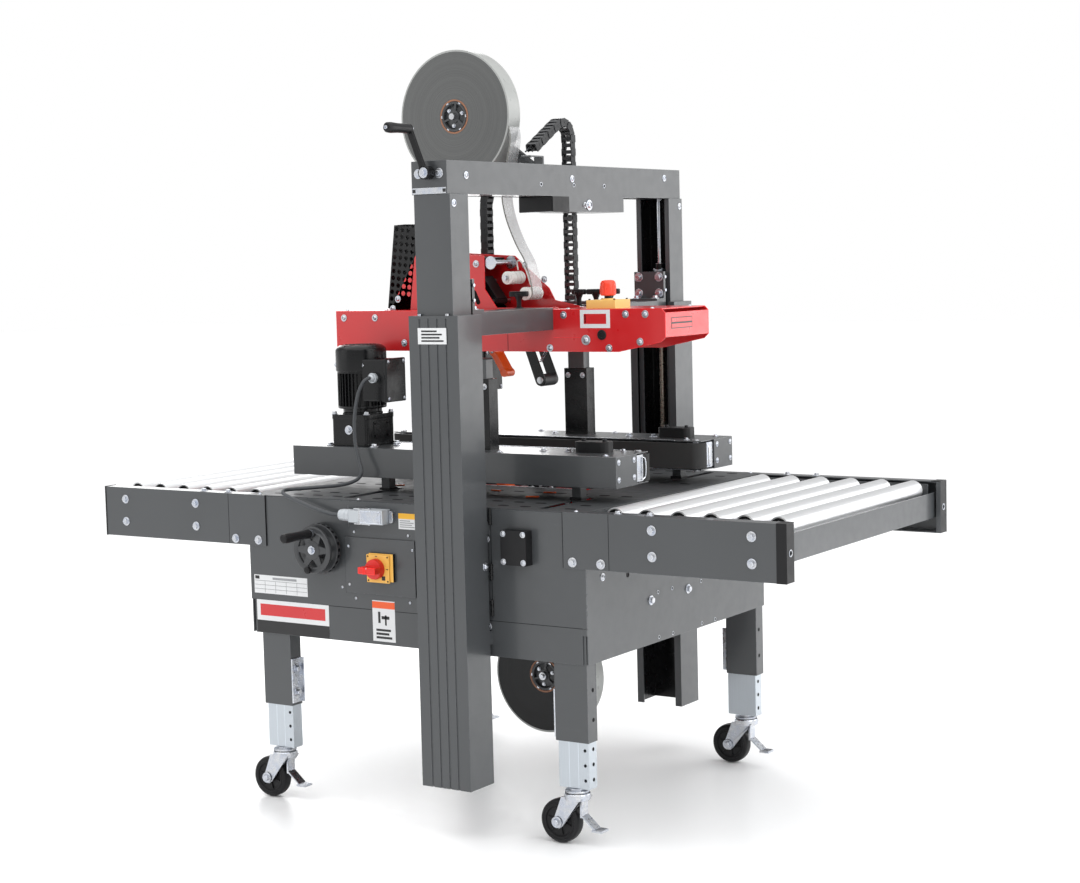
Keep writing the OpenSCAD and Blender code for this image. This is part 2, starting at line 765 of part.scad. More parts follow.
module belt_unit() {
    color(paint) {
        difference() {
            box(unit_x, unit_y, [unit_z, unit_top]);
            box([unit_x[0] + sheet, unit_x[1] - sheet], [unit_y[0] - 1, unit_y[1] - sheet],
                [unit_z + sheet, unit_top - sheet]);
        }
        // inner plates that carry the pulleys
        difference() {
            box([drive_x - 24, idler_x + 20], [belt_y - 12, unit_y[0]], [unit_top - sheet, unit_top]);
            translate([drive_x, belt_y, unit_top - 5]) cylinder(r = shaft_r + running, h = 10);
            translate([idler_x, belt_y, unit_top - 5]) cylinder(r = shaft_r + running, h = 10);
        }
        difference() {
            box([drive_x - 24, idler_x + 20], [belt_y - 12, unit_y[0]], [unit_z, unit_z + sheet]);
            translate([drive_x, belt_y, unit_z - 5]) cylinder(r = shaft_r + running, h = 10);
            translate([idler_x, belt_y, unit_z - 5]) cylinder(r = shaft_r + running, h = 10);
        }
        box([drive_x + 50, idler_x - 50], [belt_y - 14, belt_y + 14], [belt_z + 6, belt_z + belt_h - 6]);
        for (x = [-300, 0, 300]) box([x, x + 40], [belt_y - 12, belt_y + 12], [unit_z + sheet, belt_z + 8]);
        // posts that stand in the deck's cross slots
        for (x = post_x) {
            box([x - 12, x + 12], [222, 248], [bed_height - 24, unit_z]);
            difference() {
                box([x - 20, x + 20], [212, 258], [guide_z - 16, bed_height - 12]);
                y_rod([x, 200, guide_z], guide_r + running, 70);
            }
        }
        // nut on the width screw
        difference() {
            box([wheel_x - 20, post_x[0] + 20], [212, 258], [wheel_z - 20, guide_z - 16]);
            y_rod([wheel_x, 200, wheel_z], shaft_r + running, 70);
        }
        // telescopic post
        box([40, 107], [200, 238], [unit_top, 1028]);
        box([50, 97], [204, 232], [1028, 1074]);
    }
    color(black) translate([368, 194, unit_top]) linear_extrude(26) rounded_rect(88, 46, 16);
}

module motor() {
    top = unit_top + gear_h;
    color(black) translate([motor_x, motor_y, 0]) {
        difference() {
            translate([0, 0, unit_top + gear_h / 2]) cube([gear_w, gear_w, gear_h], center = true);
            for (s = [-1, 1]) translate([s * gear_w / 2 - 2, -30, unit_top + 20]) cube([4, 60, 40]);
        }
        translate([0, 0, top]) cylinder(r = 48, h = 14);
        difference() {
            translate([0, 0, top + 14]) cylinder(r = 60, h = 92);
            for (a = [0:20:340]) rotate([0, 0, a]) translate([54, -3, top + 20]) cube([8, 6, 80]);
        }
        translate([0, 0, top + 106]) cylinder(r = 63, h = 52);
        translate([0, 0, top + 158]) cylinder(r1 = 63, r2 = 48, h = 12);
    }
    color(black) box([-262, -184], [173, 250], [968, 1075]);
}

module gland(side) {
    color(zinc) on_side(side) {
        translate([-223, 250, 1028]) rotate([-90, 0, 0]) cylinder(r = 13, h = 8);
        translate([-223, 258, 1028]) rotate([-90, 0, 0]) cylinder(r = 10, h = 8);
    }
}

// Belt loop around the two pulleys, with a flat run towards the carton.
module belt() {
    module loop(r) {
        translate([drive_x, belt_y]) circle(r = r);
        translate([idler_x, belt_y]) circle(r = r);
        translate([drive_x, belt_y - r]) square([idler_x - drive_x, 2 * r]);
    }
    color(black) translate([0, 0, belt_z]) linear_extrude(belt_h) difference() {
        loop(pulley_r + belt_t);
        loop(pulley_r + part_gap);
    }
}

module pulley(x) {
    color(steel) translate([x, belt_y, 0]) {
        translate([0, 0, belt_z + 1]) cylinder(r = pulley_r, h = belt_h - 2);
        translate([0, 0, unit_z - 3]) cylinder(r = shaft_r, h = unit_h + 6);
    }
}

// ---------------------------------------------------------------- controls

module control_panel() {
    y = -body_y;
    difference() {
        union() {
            color(paint) box([-184, 21], [y - 4, y], [531, 664]);
            color(yellow) box([-111, -45], [y - 16, y - 12], [562, 628]);
            color(black) box([-107, -36], [y - 12, y - 4], [565, 631]);
        }
        y_rod([knob_x, y - 20, knob_z], 5 + running, 30);
    }
    // connector that the motor's cord plugs into
    color(aluminium) {
        box([-116, -48], [y - 32, y], [701, 735]);
        box([-150, -116], [y - 30, y - 3], [703, 732]);
        x_rod([-182, y - 17, 718], 13, 32);
    }
    // cover of the junction box beside the front column
    color(black) box([277, 345], [y - 26, y], [628, 706]);
}

// The wheel's shaft runs on as the screw that moves both side belt units.
module handwheel() {
    y_front = -body_y - 46;
    color(black) {
        y_rod([wheel_x, y_front - 4, wheel_z], shaft_r, body_y + 3 - y_front + 4);
        difference() {
            y_rod([wheel_x, y_front, wheel_z], 56, 8);
            for (a = [30:60:330]) {
                y_rod([wheel_x + 34 * cos(a), y_front - 1, wheel_z + 34 * sin(a)], 10, 10);
            }
        }
        y_rod([wheel_x, y_front + 8, wheel_z], 24, 22);
        difference() {
            y_rod([wheel_x, y_front + 22, wheel_z], 60, 14);
            y_rod([wheel_x, y_front + 21, wheel_z], 50, 9);
            for (a = [0:20:340]) {
                y_rod([wheel_x + 60 * cos(a), y_front + 25, wheel_z + 60 * sin(a)], 5, 8);
            }
        }
        y_rod([wheel_x, y_front - 104, wheel_z + 40], 11, 104);
        y_rod([wheel_x - 7, y_front - 16, wheel_z - 47], 9, 16);
    }
}

module switch_knob() {
    y = -body_y - 16;
    color(red) {
        y_rod([knob_x, y - 16, knob_z], 24, 16 - part_gap);
        box([knob_x - 25, knob_x + 25], [y - 40, y - 16], [knob_z - 8, knob_z + 8]);
    }
    color(steel) y_rod([knob_x, y - 10, knob_z], 5, 30);
}

// ---------------------------------------------------------------- motor cord

function spline(a, b, c, d, t) =
    0.5 * ((2 * b) + (c - a) * t + (2 * a - 5 * b + 4 * c - d) * t * t + (3 * b - a - 3 * c + d) * t * t * t);

function route(path, steps) = [
    for (i = [0:len(path) - 2], k = [0:steps - 1])
        spline(path[max(i - 1, 0)], path[i], path[i + 1], path[min(i + 2, len(path) - 1)], k / steps),
    path[len(path) - 1]
];

function unit(v) = v / norm(v);

function tangent(points, i) = unit(points[min(i + 1, len(points) - 1)] - points[max(i - 1, 0)]);

// Each ring's side direction comes from the one before it, so the tube doesn't twist.
function sides_of(points, i = 0, previous = [1, 0, 0]) =
    i == len(points) ? [] :
    let (t = tangent(points, i), s = unit(previous - (previous * t) * t))
    concat([s], sides_of(points, i + 1, s));

module tube(path, r, steps, sides) {
    points = route(path, steps);
    across = sides_of(points);
    last = len(points) - 1;
    rings = [for (i = [0:last], k = [0:sides - 1])
        let (up = cross(tangent(points, i), across[i]), a = 360 * k / sides)
        points[i] + r * (cos(a) * across[i] + sin(a) * up)];
    walls = [for (i = [0:last - 1], k = [0:sides - 1])
        [i * sides + k, (i + 1) * sides + k, (i + 1) * sides + (k + 1) % sides, i * sides + (k + 1) % sides]];
    first_cap = [for (k = [0:sides - 1]) k];
    last_cap = [for (k = [sides - 1:-1:0]) last * sides + k];
    polyhedron(points = rings, faces = concat([first_cap], walls, [last_cap]));
}

module motor_cord() {
    color("#4a4d50") tube(cord_path, cord_r, cord_steps, cord_sides);
}

// ---------------------------------------------------------------- nodes

front_panel();
bed_body();
bed_deck();
inner_legs();
infeed_frame();
exit_frame();
outer_columns();
inner_columns();
crossbeam();
control_panel();
lower_head_frame();
energy_chains();
motor_cord();
roller_axles();
for (i = [1:roller_count]) {
    x = first_roller_x + (i - 1) * roller_pitch;
    conveyor_roller(x);
    conveyor_roller(-x);
}
on_side(front) caster_fork(leg_x[0]);  // caster_fork_fl
on_side(front) caster_fork(leg_x[1]);  // caster_fork_fr
on_side(rear) caster_fork(leg_x[0]);  // caster_fork_rl
on_side(rear) caster_fork(leg_x[1]);  // caster_fork_rr
on_side(front) caster_wheel(leg_x[0]);  // caster_wheel_fl
on_side(front) caster_wheel(leg_x[1]);  // caster_wheel_fr
on_side(rear) caster_wheel(leg_x[0]);  // caster_wheel_rl
on_side(rear) caster_wheel(leg_x[1]);  // caster_wheel_rr
cross_arms();
head_casing();
upper_tape_head();
roller_arm(apply_roller_x, black);  // upper_apply_arm
roller_arm(buff_roller_x, black);  // upper_buff_arm
upper_knife_guard();
estop_button();
crank();
lead_screw(front);  // front_screw
lead_screw(rear);  // rear_screw
on_side(front) belt_unit();  // front_belt_unit
on_side(rear) belt_unit();  // rear_belt_unit
union() {  // front_motor
    on_side(front) motor();
    gland(front);
}
union() {  // rear_motor
    on_side(rear) motor();
    gland(rear);
}
on_side(front) belt();  // front_belt
on_side(rear) belt();  // rear_belt
on_side(front) pulley(drive_x);  // front_drive_pulley
on_side(front) pulley(idler_x);  // front_idler_pulley
on_side(rear) pulley(drive_x);  // rear_drive_pulley
on_side(rear) pulley(idler_x);  // rear_idler_pulley
handwheel();
switch_knob();
tape_roll(upper_roll_x, upper_roll_z, upper_roll_d);  // upper_tape_roll
tape_roll(lower_roll_x, lower_roll_z, lower_roll_d);  // lower_tape_roll
lower_apply_arm();
lower_buff_arm();
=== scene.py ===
"""Looks of a side-belt carton sealer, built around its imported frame.

Each sub-assembly is a class that makes its meshes and dresses them; each finish is a frozen dataclass.
Lengths are in metres: +X runs along the conveyor towards the infeed, the operator stands at -Y, and
z = 0 is the floor.
"""

import json
import logging
import math
from dataclasses import dataclass, replace
from enum import Enum
from itertools import product
from math import copysign, cos, pi, radians, sin
from typing import Callable, Iterable, Optional, Sequence

import bmesh
import bpy
from mathutils import Matrix, Vector

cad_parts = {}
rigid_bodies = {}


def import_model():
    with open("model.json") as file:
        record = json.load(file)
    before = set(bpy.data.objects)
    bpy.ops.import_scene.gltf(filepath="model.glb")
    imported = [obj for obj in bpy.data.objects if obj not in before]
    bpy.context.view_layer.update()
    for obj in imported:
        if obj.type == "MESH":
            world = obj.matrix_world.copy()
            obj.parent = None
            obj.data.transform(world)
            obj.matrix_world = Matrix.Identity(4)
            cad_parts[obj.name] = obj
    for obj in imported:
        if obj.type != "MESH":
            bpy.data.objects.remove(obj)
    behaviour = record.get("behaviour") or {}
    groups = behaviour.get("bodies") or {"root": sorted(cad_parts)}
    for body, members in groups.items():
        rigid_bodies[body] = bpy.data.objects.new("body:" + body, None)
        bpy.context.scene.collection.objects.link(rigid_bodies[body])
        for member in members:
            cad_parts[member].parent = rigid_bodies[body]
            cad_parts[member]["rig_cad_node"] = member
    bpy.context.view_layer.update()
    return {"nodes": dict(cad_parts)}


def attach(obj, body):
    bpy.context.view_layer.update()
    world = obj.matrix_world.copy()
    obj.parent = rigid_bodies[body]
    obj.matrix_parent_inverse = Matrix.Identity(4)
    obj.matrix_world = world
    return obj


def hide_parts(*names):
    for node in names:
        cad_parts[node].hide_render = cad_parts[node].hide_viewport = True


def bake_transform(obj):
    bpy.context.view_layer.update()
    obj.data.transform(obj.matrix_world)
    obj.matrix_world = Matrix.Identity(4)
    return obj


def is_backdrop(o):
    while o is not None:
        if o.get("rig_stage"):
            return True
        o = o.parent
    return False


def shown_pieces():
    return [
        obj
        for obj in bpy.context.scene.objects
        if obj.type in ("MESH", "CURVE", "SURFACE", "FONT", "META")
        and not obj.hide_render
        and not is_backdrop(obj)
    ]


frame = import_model()

LOG = logging.getLogger("carton_sealer")

SHARP = radians(35.0)  # edges of new solids sharper than this are rounded
NODE_SHARP = radians(32.0)  # the same for CAD nodes
FLAT = radians(0.6)  # faces of CAD nodes closer than this are joined
WELD = 2e-6  # corners of CAD nodes closer than this are joined
EDGE_ROUNDNESS = 0.6
ON_AXIS = 1e-6  # a profile point nearer to the axis closes the surface

Point = Sequence[float]
Color = tuple[float, float, float]

FRAME = "frame"
HEAD = "head"
REAR_UNIT = "rear_side_unit"


# ---------------------------------------------------------------- finishes


class Graph:
    """A material's node tree, with short ways to add and join nodes."""

    def __init__(self, name: str) -> None:
        """Starts an empty material."""
        self.material = bpy.data.materials.new(name)
        self.material.use_nodes = True
        self.tree = self.material.node_tree
        self.shader = self.tree.nodes["Principled BSDF"]
        self.place = self.add("ShaderNodeTexCoord").outputs["Object"]

    def add(self, kind: str, inputs: Optional[dict] = None, **settings: object) -> bpy.types.Node:
        """Adds one node.

        Args:
            kind: The node's type.
            inputs: Values or output sockets for its inputs, by name or index.
            settings: Attributes of the node.

        Returns:
            The new node.
        """
        node = self.tree.nodes.new(kind)
        for key, value in settings.items():
            setattr(node, key, value)
        for key, value in (inputs or {}).items():
            self.feed(node.inputs[key], value)
        return node

    def feed(self, socket: bpy.types.NodeSocket, value: object) -> None:
        """Sets an input, or links an output into it."""
        if isinstance(value, bpy.types.NodeSocket):
            self.tree.links.new(value, socket)
        else:
            socket.default_value = value

    def noise(self, scale: float, detail: float = 2.0, at: object = None) -> bpy.types.NodeSocket:
        """A noise value, evenly spread over the object.

        Args:
            scale: Cells per metre.
            detail: Octaves of finer noise.
            at: Coordinates, if not the object's own.

        Returns:
            The noise's value, from 0 to 1.
        """
        node = self.add("ShaderNodeTexNoise", {"Vector": at or self.place, "Scale": scale, "Detail": detail})
        return node.outputs["Fac"]

    def math(self, operation: str, a: object, b: object = 0.0, clamp: bool = False) -> bpy.types.NodeSocket:
        """One arithmetic step on two values."""
        return self.add("ShaderNodeMath", {0: a, 1: b}, operation=operation, use_clamp=clamp).outputs[0]

    def remap(self, value: object, low: float, high: float, a: float, b: float) -> bpy.types.NodeSocket:
        """Maps low..high to a..b, held at the ends."""
        node = self.add("ShaderNodeMapRange", {0: value, 1: low, 2: high, 3: a, 4: b})
        return node.outputs[0]

    def mix(self, factor: object, a: object, b: object) -> bpy.types.NodeSocket:
        """Mixes two colours."""
        node = self.add("ShaderNodeMix", data_type="RGBA")
        for socket, value in ((node.inputs[0], factor), (node.inputs[6], a), (node.inputs[7], b)):
            self.feed(socket, (*value, 1.0) if isinstance(value, tuple) and len(value) == 3 else value)
        return node.outputs[2]

    def stretched(self, scale: Point, offset: Point = (0.0, 0.0, 0.0)) -> bpy.types.NodeSocket:
        """The object's coordinates, moved and scaled on each axis."""
        node = self.add("ShaderNodeMapping", {"Vector": self.place, "Location": offset, "Scale": scale})
        return node.outputs[0]

    def bump(self, height: object, strength: float, distance: float) -> None:
        """Raises the surface by a height value, on top of any bump that's there."""
        inputs = {"Height": height, "Strength": strength, "Distance": distance}
        if self.shader.inputs["Normal"].links:
            inputs["Normal"] = self.shader.inputs["Normal"].links[0].from_socket
        node = self.add("ShaderNodeBump", inputs)
        self.tree.links.new(node.outputs[0], self.shader.inputs["Normal"])


@dataclass(frozen=True)
class Finish:
    """A surface finish: its colour and gloss, with a mottle in both."""

    name: str
    color: Color
    roughness: float = 0.5
    metallic: float = 0.0
    mottle: float = 0.06
    grain: float = 900.0
    grain_depth: float = 0.00004
    specular: float = 0.5

    def material(self) -> bpy.types.Material:
        """The finish's material, made once."""
        found = bpy.data.materials.get(self.name)
        if found:
            return found
        graph = Graph(self.name)
        graph.shader.inputs["Metallic"].default_value = self.metallic
        graph.shader.inputs["Specular IOR Level"].default_value = self.specular
        self.paint(graph)
        return graph.material

    def shade(self, amount: float) -> Color:
        """The colour, lighter by a share of itself."""
        return tuple(min(1.0, c * (1.0 + amount)) for c in self.color)

    def paint(self, graph: Graph) -> None:
        """Fills the material's nodes."""
        cloud = graph.remap(graph.noise(5.0, 4.0), 0.3, 0.7, 0.0, 1.0)
        tone = graph.mix(cloud, self.shade(-self.mottle), self.shade(self.mottle))
        graph.feed(graph.shader.inputs["Base Color"], tone)
        rough = graph.remap(graph.noise(40.0, 3.0), 0.3, 0.7, self.roughness - 0.05, self.roughness + 0.06)
        graph.feed(graph.shader.inputs["Roughness"], rough)
        graph.bump(graph.noise(self.grain, 2.0), 0.6, self.grain_depth)

    def worn_and_highlighted(self) -> "Finish":
        """The same finish on an edge, lighter and glossier: thinner and polished by handling, and lighter also as a
        painted highlight where the edge catches light.
        """
        return replace(self, name=self.name + "_edge", color=self.shade(0.35), roughness=self.roughness * 0.8)


@dataclass(frozen=True)
class PowderCoat(Finish):
    """Textured powder coat with a fine orange peel."""

    coat: float = 0.0

    def paint(self, graph: Graph) -> None:
        """Adds the orange peel, faint scuffs and an optional gloss coat."""
        super().paint(graph)
        graph.shader.inputs["Coat Weight"].default_value = self.coat
        graph.shader.inputs["Coat Roughness"].default_value = 0.12
        peel = graph.add("ShaderNodeTexVoronoi", {"Vector": graph.place, "Scale": 420.0}, feature="SMOOTH_F1")
        graph.bump(peel.outputs["Distance"], 0.25, 0.00008)
        scuff = graph.noise(1.0, 6.0, graph.stretched((9.0, 9.0, 70.0)))
        faint = graph.remap(scuff, 0.62, 0.78, 0.0, 0.1)
        base = graph.shader.inputs["Base Color"].links[0].from_socket
        graph.feed(graph.shader.inputs["Base Color"], graph.mix(faint, base, self.shade(0.6)))


@dataclass(frozen=True)
class Brushed(Finish):
    """Metal with fine lines along one direction."""

    metallic: float = 1.0
    lines: tuple[float, float, float] = (900.0, 900.0, 8.0)

    def paint(self, graph: Graph) -> None:
        """Draws the brush lines into the roughness, tone and bump."""
        streak = graph.noise(1.0, 5.0, graph.stretched(self.lines))
        tone = graph.mix(streak, self.shade(-2.0 * self.mottle), self.shade(2.0 * self.mottle))
        graph.feed(graph.shader.inputs["Base Color"], tone)
        rough = graph.remap(streak, 0.25, 0.75, self.roughness - 0.08, self.roughness + 0.1)
        graph.feed(graph.shader.inputs["Roughness"], rough)
        graph.bump(streak, 0.35, 0.00005)


@dataclass(frozen=True)
class Plated(Finish):
    """Bright zinc plate, with cloudy patches."""

    metallic: float = 1.0

    def paint(self, graph: Graph) -> None:
        """Adds the passivated patches to the plate."""
        cloud = graph.remap(graph.noise(70.0, 5.0), 0.35, 0.65, 0.0, 1.0)
        cool = tuple(c * k for c, k in zip(self.color, (0.86, 0.9, 0.98)))
        graph.feed(graph.shader.inputs["Base Color"], graph.mix(cloud, self.color, cool))
        rough = graph.remap(graph.noise(160.0, 3.0), 0.3, 0.7, self.roughness - 0.06, self.roughness + 0.12)
        graph.feed(graph.shader.inputs["Roughness"], rough)
        graph.bump(graph.noise(700.0, 2.0), 0.2, 0.00005)


@dataclass(frozen=True)
class WoundTape(Finish):
    """Clear film wound into a roll: thin rings around the axle, dull at the cut faces."""

    centre: tuple[float, float] = (0.0, 0.0)
    coat: float = 0.5

    def paint(self, graph: Graph) -> None:
        """Draws the rings from the distance to the roll's axle."""
        flat = graph.stretched((1.0, 0.0, 1.0), (-self.centre[0], 0.0, -self.centre[1]))
        radius = graph.add("ShaderNodeVectorMath", {0: flat}, operation="LENGTH").outputs["Value"]
        along = graph.add("ShaderNodeCombineXYZ", {0: radius}).outputs[0]
        rings = graph.noise(900.0, 3.0, along)
        bands = graph.noise(60.0, 3.0, along)
        dust = graph.noise(22.0, 5.0)
        tone = graph.mix(rings, self.shade(-0.3), self.shade(0.28))
        tone = graph.mix(graph.remap(bands, 0.35, 0.65, 0.0, 0.5), tone, self.shade(0.45))
        graph.feed(graph.shader.inputs["Base Color"], graph.mix(graph.math("MULTIPLY", dust, 0.3), tone, self.color))
        graph.feed(
            graph.shader.inputs["Roughness"],
            graph.remap(rings, 0.3, 0.7, self.roughness - 0.1, self.roughness + 0.1),
        )
        graph.shader.inputs["Coat Weight"].default_value = self.coat
        graph.shader.inputs["Coat Roughness"].default_value = 0.2
        graph.bump(rings, 0.5, 0.00012)


@dataclass(frozen=True)
class ClearFilm(Finish):
    """Thin clear film with a milky sheen."""

    def paint(self, graph: Graph) -> None:
        """Makes the film see-through, cloudier in patches."""
        super().paint(graph)
        cloud = graph.noise(18.0, 4.0)
        graph.feed(graph.shader.inputs["Alpha"], graph.remap(cloud, 0.3, 0.7, 0.34, 0.5))
        graph.shader.inputs["Coat Weight"].default_value = 0.6


@dataclass(frozen=True)
class Lattice(Finish):
    """Rubber with a moulded grip pattern of small diamonds."""

    pitch: float = 0.006

    def paint(self, graph: Graph) -> None:
        """Raises the diamonds where two diagonal waves meet, and darkens the grooves between them as painted shade."""
        super().paint(graph)
        turns = 2.0 * pi / self.pitch
        axes = graph.add("ShaderNodeSeparateXYZ", {0: graph.place}).outputs
        rise = graph.math("ADD", axes["X"], axes["Z"])
        fall = graph.math("SUBTRACT", axes["X"], axes["Z"])
        waves = [graph.math("SINE", graph.math("MULTIPLY", v, turns)) for v in (rise, fall)]
        crossing = graph.math("MULTIPLY", waves[0], waves[1])
        base = graph.shader.inputs["Base Color"].links[0].from_socket
        # painted shade: the colour darkens in the grooves between the diamonds, where shade falls
        groove_shade = graph.remap(crossing, -0.3, 0.6, 0.0, 1.0)
        graph.feed(graph.shader.inputs["Base Color"], graph.mix(groove_shade, self.shade(-0.4), base))
        graph.bump(crossing, 0.9, 0.0008)


PAINT = PowderCoat("charcoal_powder_coat", (0.055, 0.059, 0.063), 0.36, mottle=0.04, coat=0.35)
DECK_PAINT = PowderCoat("deck_powder_coat", (0.052, 0.055, 0.058), 0.5, mottle=0.06, coat=0.0, specular=0.3)
RED = PowderCoat("red_powder_coat", (0.58, 0.008, 0.011), 0.32, mottle=0.05, coat=0.5)
ORANGE = PowderCoat("orange_powder_coat", (0.85, 0.1, 0.008), 0.36, mottle=0.05, coat=0.3)
BLACK_PAINT = PowderCoat("black_enamel", (0.005, 0.0053, 0.006), 0.24, mottle=0.1, coat=0.06, specular=0.28)
BLACK_PLASTIC = Finish("moulded_black_plastic", (0.009, 0.009, 0.01), 0.42, grain=1400.0, specular=0.3)
HOLE = Finish("shadowed_hole", (0.004, 0.004, 0.005), 0.7, grain=300.0, specular=0.2)
RUBBER = Finish("tyre_rubber", (0.009, 0.009, 0.01), 0.5, mottle=0.15, grain=260.0, grain_depth=0.0001, specular=0.3)
SHEATH = Finish("cord_sheath", (0.055, 0.06, 0.066), 0.45, grain=500.0)
ZINC = Plated("zinc_plate", (0.6, 0.61, 0.63), 0.28)
CHROME = Plated("chrome_plate", (0.8, 0.81, 0.83), 0.12)
STEEL = Brushed("turned_steel", (0.5, 0.51, 0.53), 0.3, mottle=0.05, lines=(60.0, 60.0, 900.0))
SCREW_STEEL = Brushed("oiled_screw_steel", (0.46, 0.42, 0.36), 0.3, mottle=0.08, lines=(80.0, 80.0, 700.0))
LEG_ALUMINIUM = Brushed("drawn_aluminium", (0.52, 0.56, 0.6), 0.34, mottle=0.05)
ROLLER_TUBE = Brushed("roller_tube", (0.8, 0.81, 0.82), 0.34, metallic=0.75, mottle=0.03, lines=(900.0, 6.0, 900.0))
WHITE_PLASTIC = Finish("white_nylon", (0.8, 0.79, 0.76), 0.38, mottle=0.03, grain=900.0)
BOX_YELLOW = Finish("button_box_yellow", (0.88, 0.56, 0.16), 0.38, mottle=0.03)
SWITCH_YELLOW = Finish("switch_yellow", (0.87, 0.5, 0.1), 0.42, mottle=0.03)
BUTTON_RED = Finish("red_button_plastic", (0.86, 0.055, 0.022), 0.3, mottle=0.04)
SWITCH_RED = Finish("red_switch_plastic", (0.72, 0.02, 0.014), 0.33, mottle=0.04)
PALE_LABEL = Finish("label_film", (0.72, 0.73, 0.74), 0.35, mottle=0.02, grain=200.0)
DARK_LABEL = Finish("label_black", (0.012, 0.012, 0.013), 0.35, mottle=0.05, grain=200.0)
GREY_LABEL = Finish("label_grey", (0.3, 0.31, 0.32), 0.35, mottle=0.05, grain=200.0)
AMBER_LABEL = Finish("label_amber", (0.85, 0.45, 0.03), 0.35, mottle=0.03, grain=200.0)
PAPER_CORE = Finish("paper_core", (0.3, 0.135, 0.075), 0.55, mottle=0.1)
DARK_PIN = Finish("blackened_screw", (0.03, 0.03, 0.032), 0.3, 0.8)
PALE_METAL = Finish("cast_housing", (0.52, 0.55, 0.58), 0.42, 0.35, mottle=0.05, grain=500.0)
BLACK_HARD = Finish("black_bakelite", (0.045, 0.047, 0.05), 0.32, mottle=0.1, grain=500.0)
GRIP_RUBBER = Finish("grip_rubber", (0.035, 0.036, 0.038), 0.45, mottle=0.12, grain=300.0)
CHAIN_PLASTIC = Finish("chain_plastic", (0.022, 0.023, 0.025), 0.42, mottle=0.08, specular=0.3)
CHAIN_BAR = Finish("chain_crossbar", (0.045, 0.047, 0.05), 0.4, mottle=0.08)
UPPER_TAPE = WoundTape("upper_wound_tape", (0.07, 0.073, 0.072), 0.28, centre=(-0.121, 1.662), coat=0.4)
# Painted shade: the lower roll is the same tape as the upper one, coloured far darker for the shade under the bed.
SHADED_LOWER_TAPE = WoundTape(
    "lower_wound_tape_painted_shade", (0.006, 0.0063, 0.0068), 0.34, centre=(0.104, 0.28), coat=0.05, specular=0.3,
)
TAPE_RIM = Finish("wound_tape_rim", (0.36, 0.37, 0.36), 0.3, mottle=0.08, grain=260.0)
CLEAR_FILM = ClearFilm("clear_tape_film", (0.62, 0.63, 0.64), 0.2)
FILM_EDGE = Finish("film_edge", (0.2, 0.2, 0.18), 0.4)
BELT = Lattice("belt_rubber", (0.014, 0.014, 0.015), 0.5, mottle=0.1, specular=0.35)
FLOOR = Finish("studio_floor", (0.955, 0.96, 0.965), 0.35, mottle=0.004, grain=30.0, grain_depth=0.00002)


# ---------------------------------------------------------------- shapes


class Axis(Enum):
    """A row axis, with its unit vector as the value."""

    X = (1.0, 0.0, 0.0)
    Y = (0.0, 1.0, 0.0)
    Z = (0.0, 0.0, 1.0)

    @property
    def vector(self) -> Vector:
        """The axis as a vector."""
        return Vector(self.value)


def aimed(origin: Point, direction: Point) -> Matrix:
    """A transform whose own +Z points along a direction.

    Args:
        origin: Where its origin goes.
        direction: Where its +Z points.

    Returns:
        The transform.
    """
    turn = Vector((0.0, 0.0, 1.0)).rotation_difference(Vector(direction).normalized())
    return Matrix.Translation(Vector(origin)) @ turn.to_matrix().to_4x4()


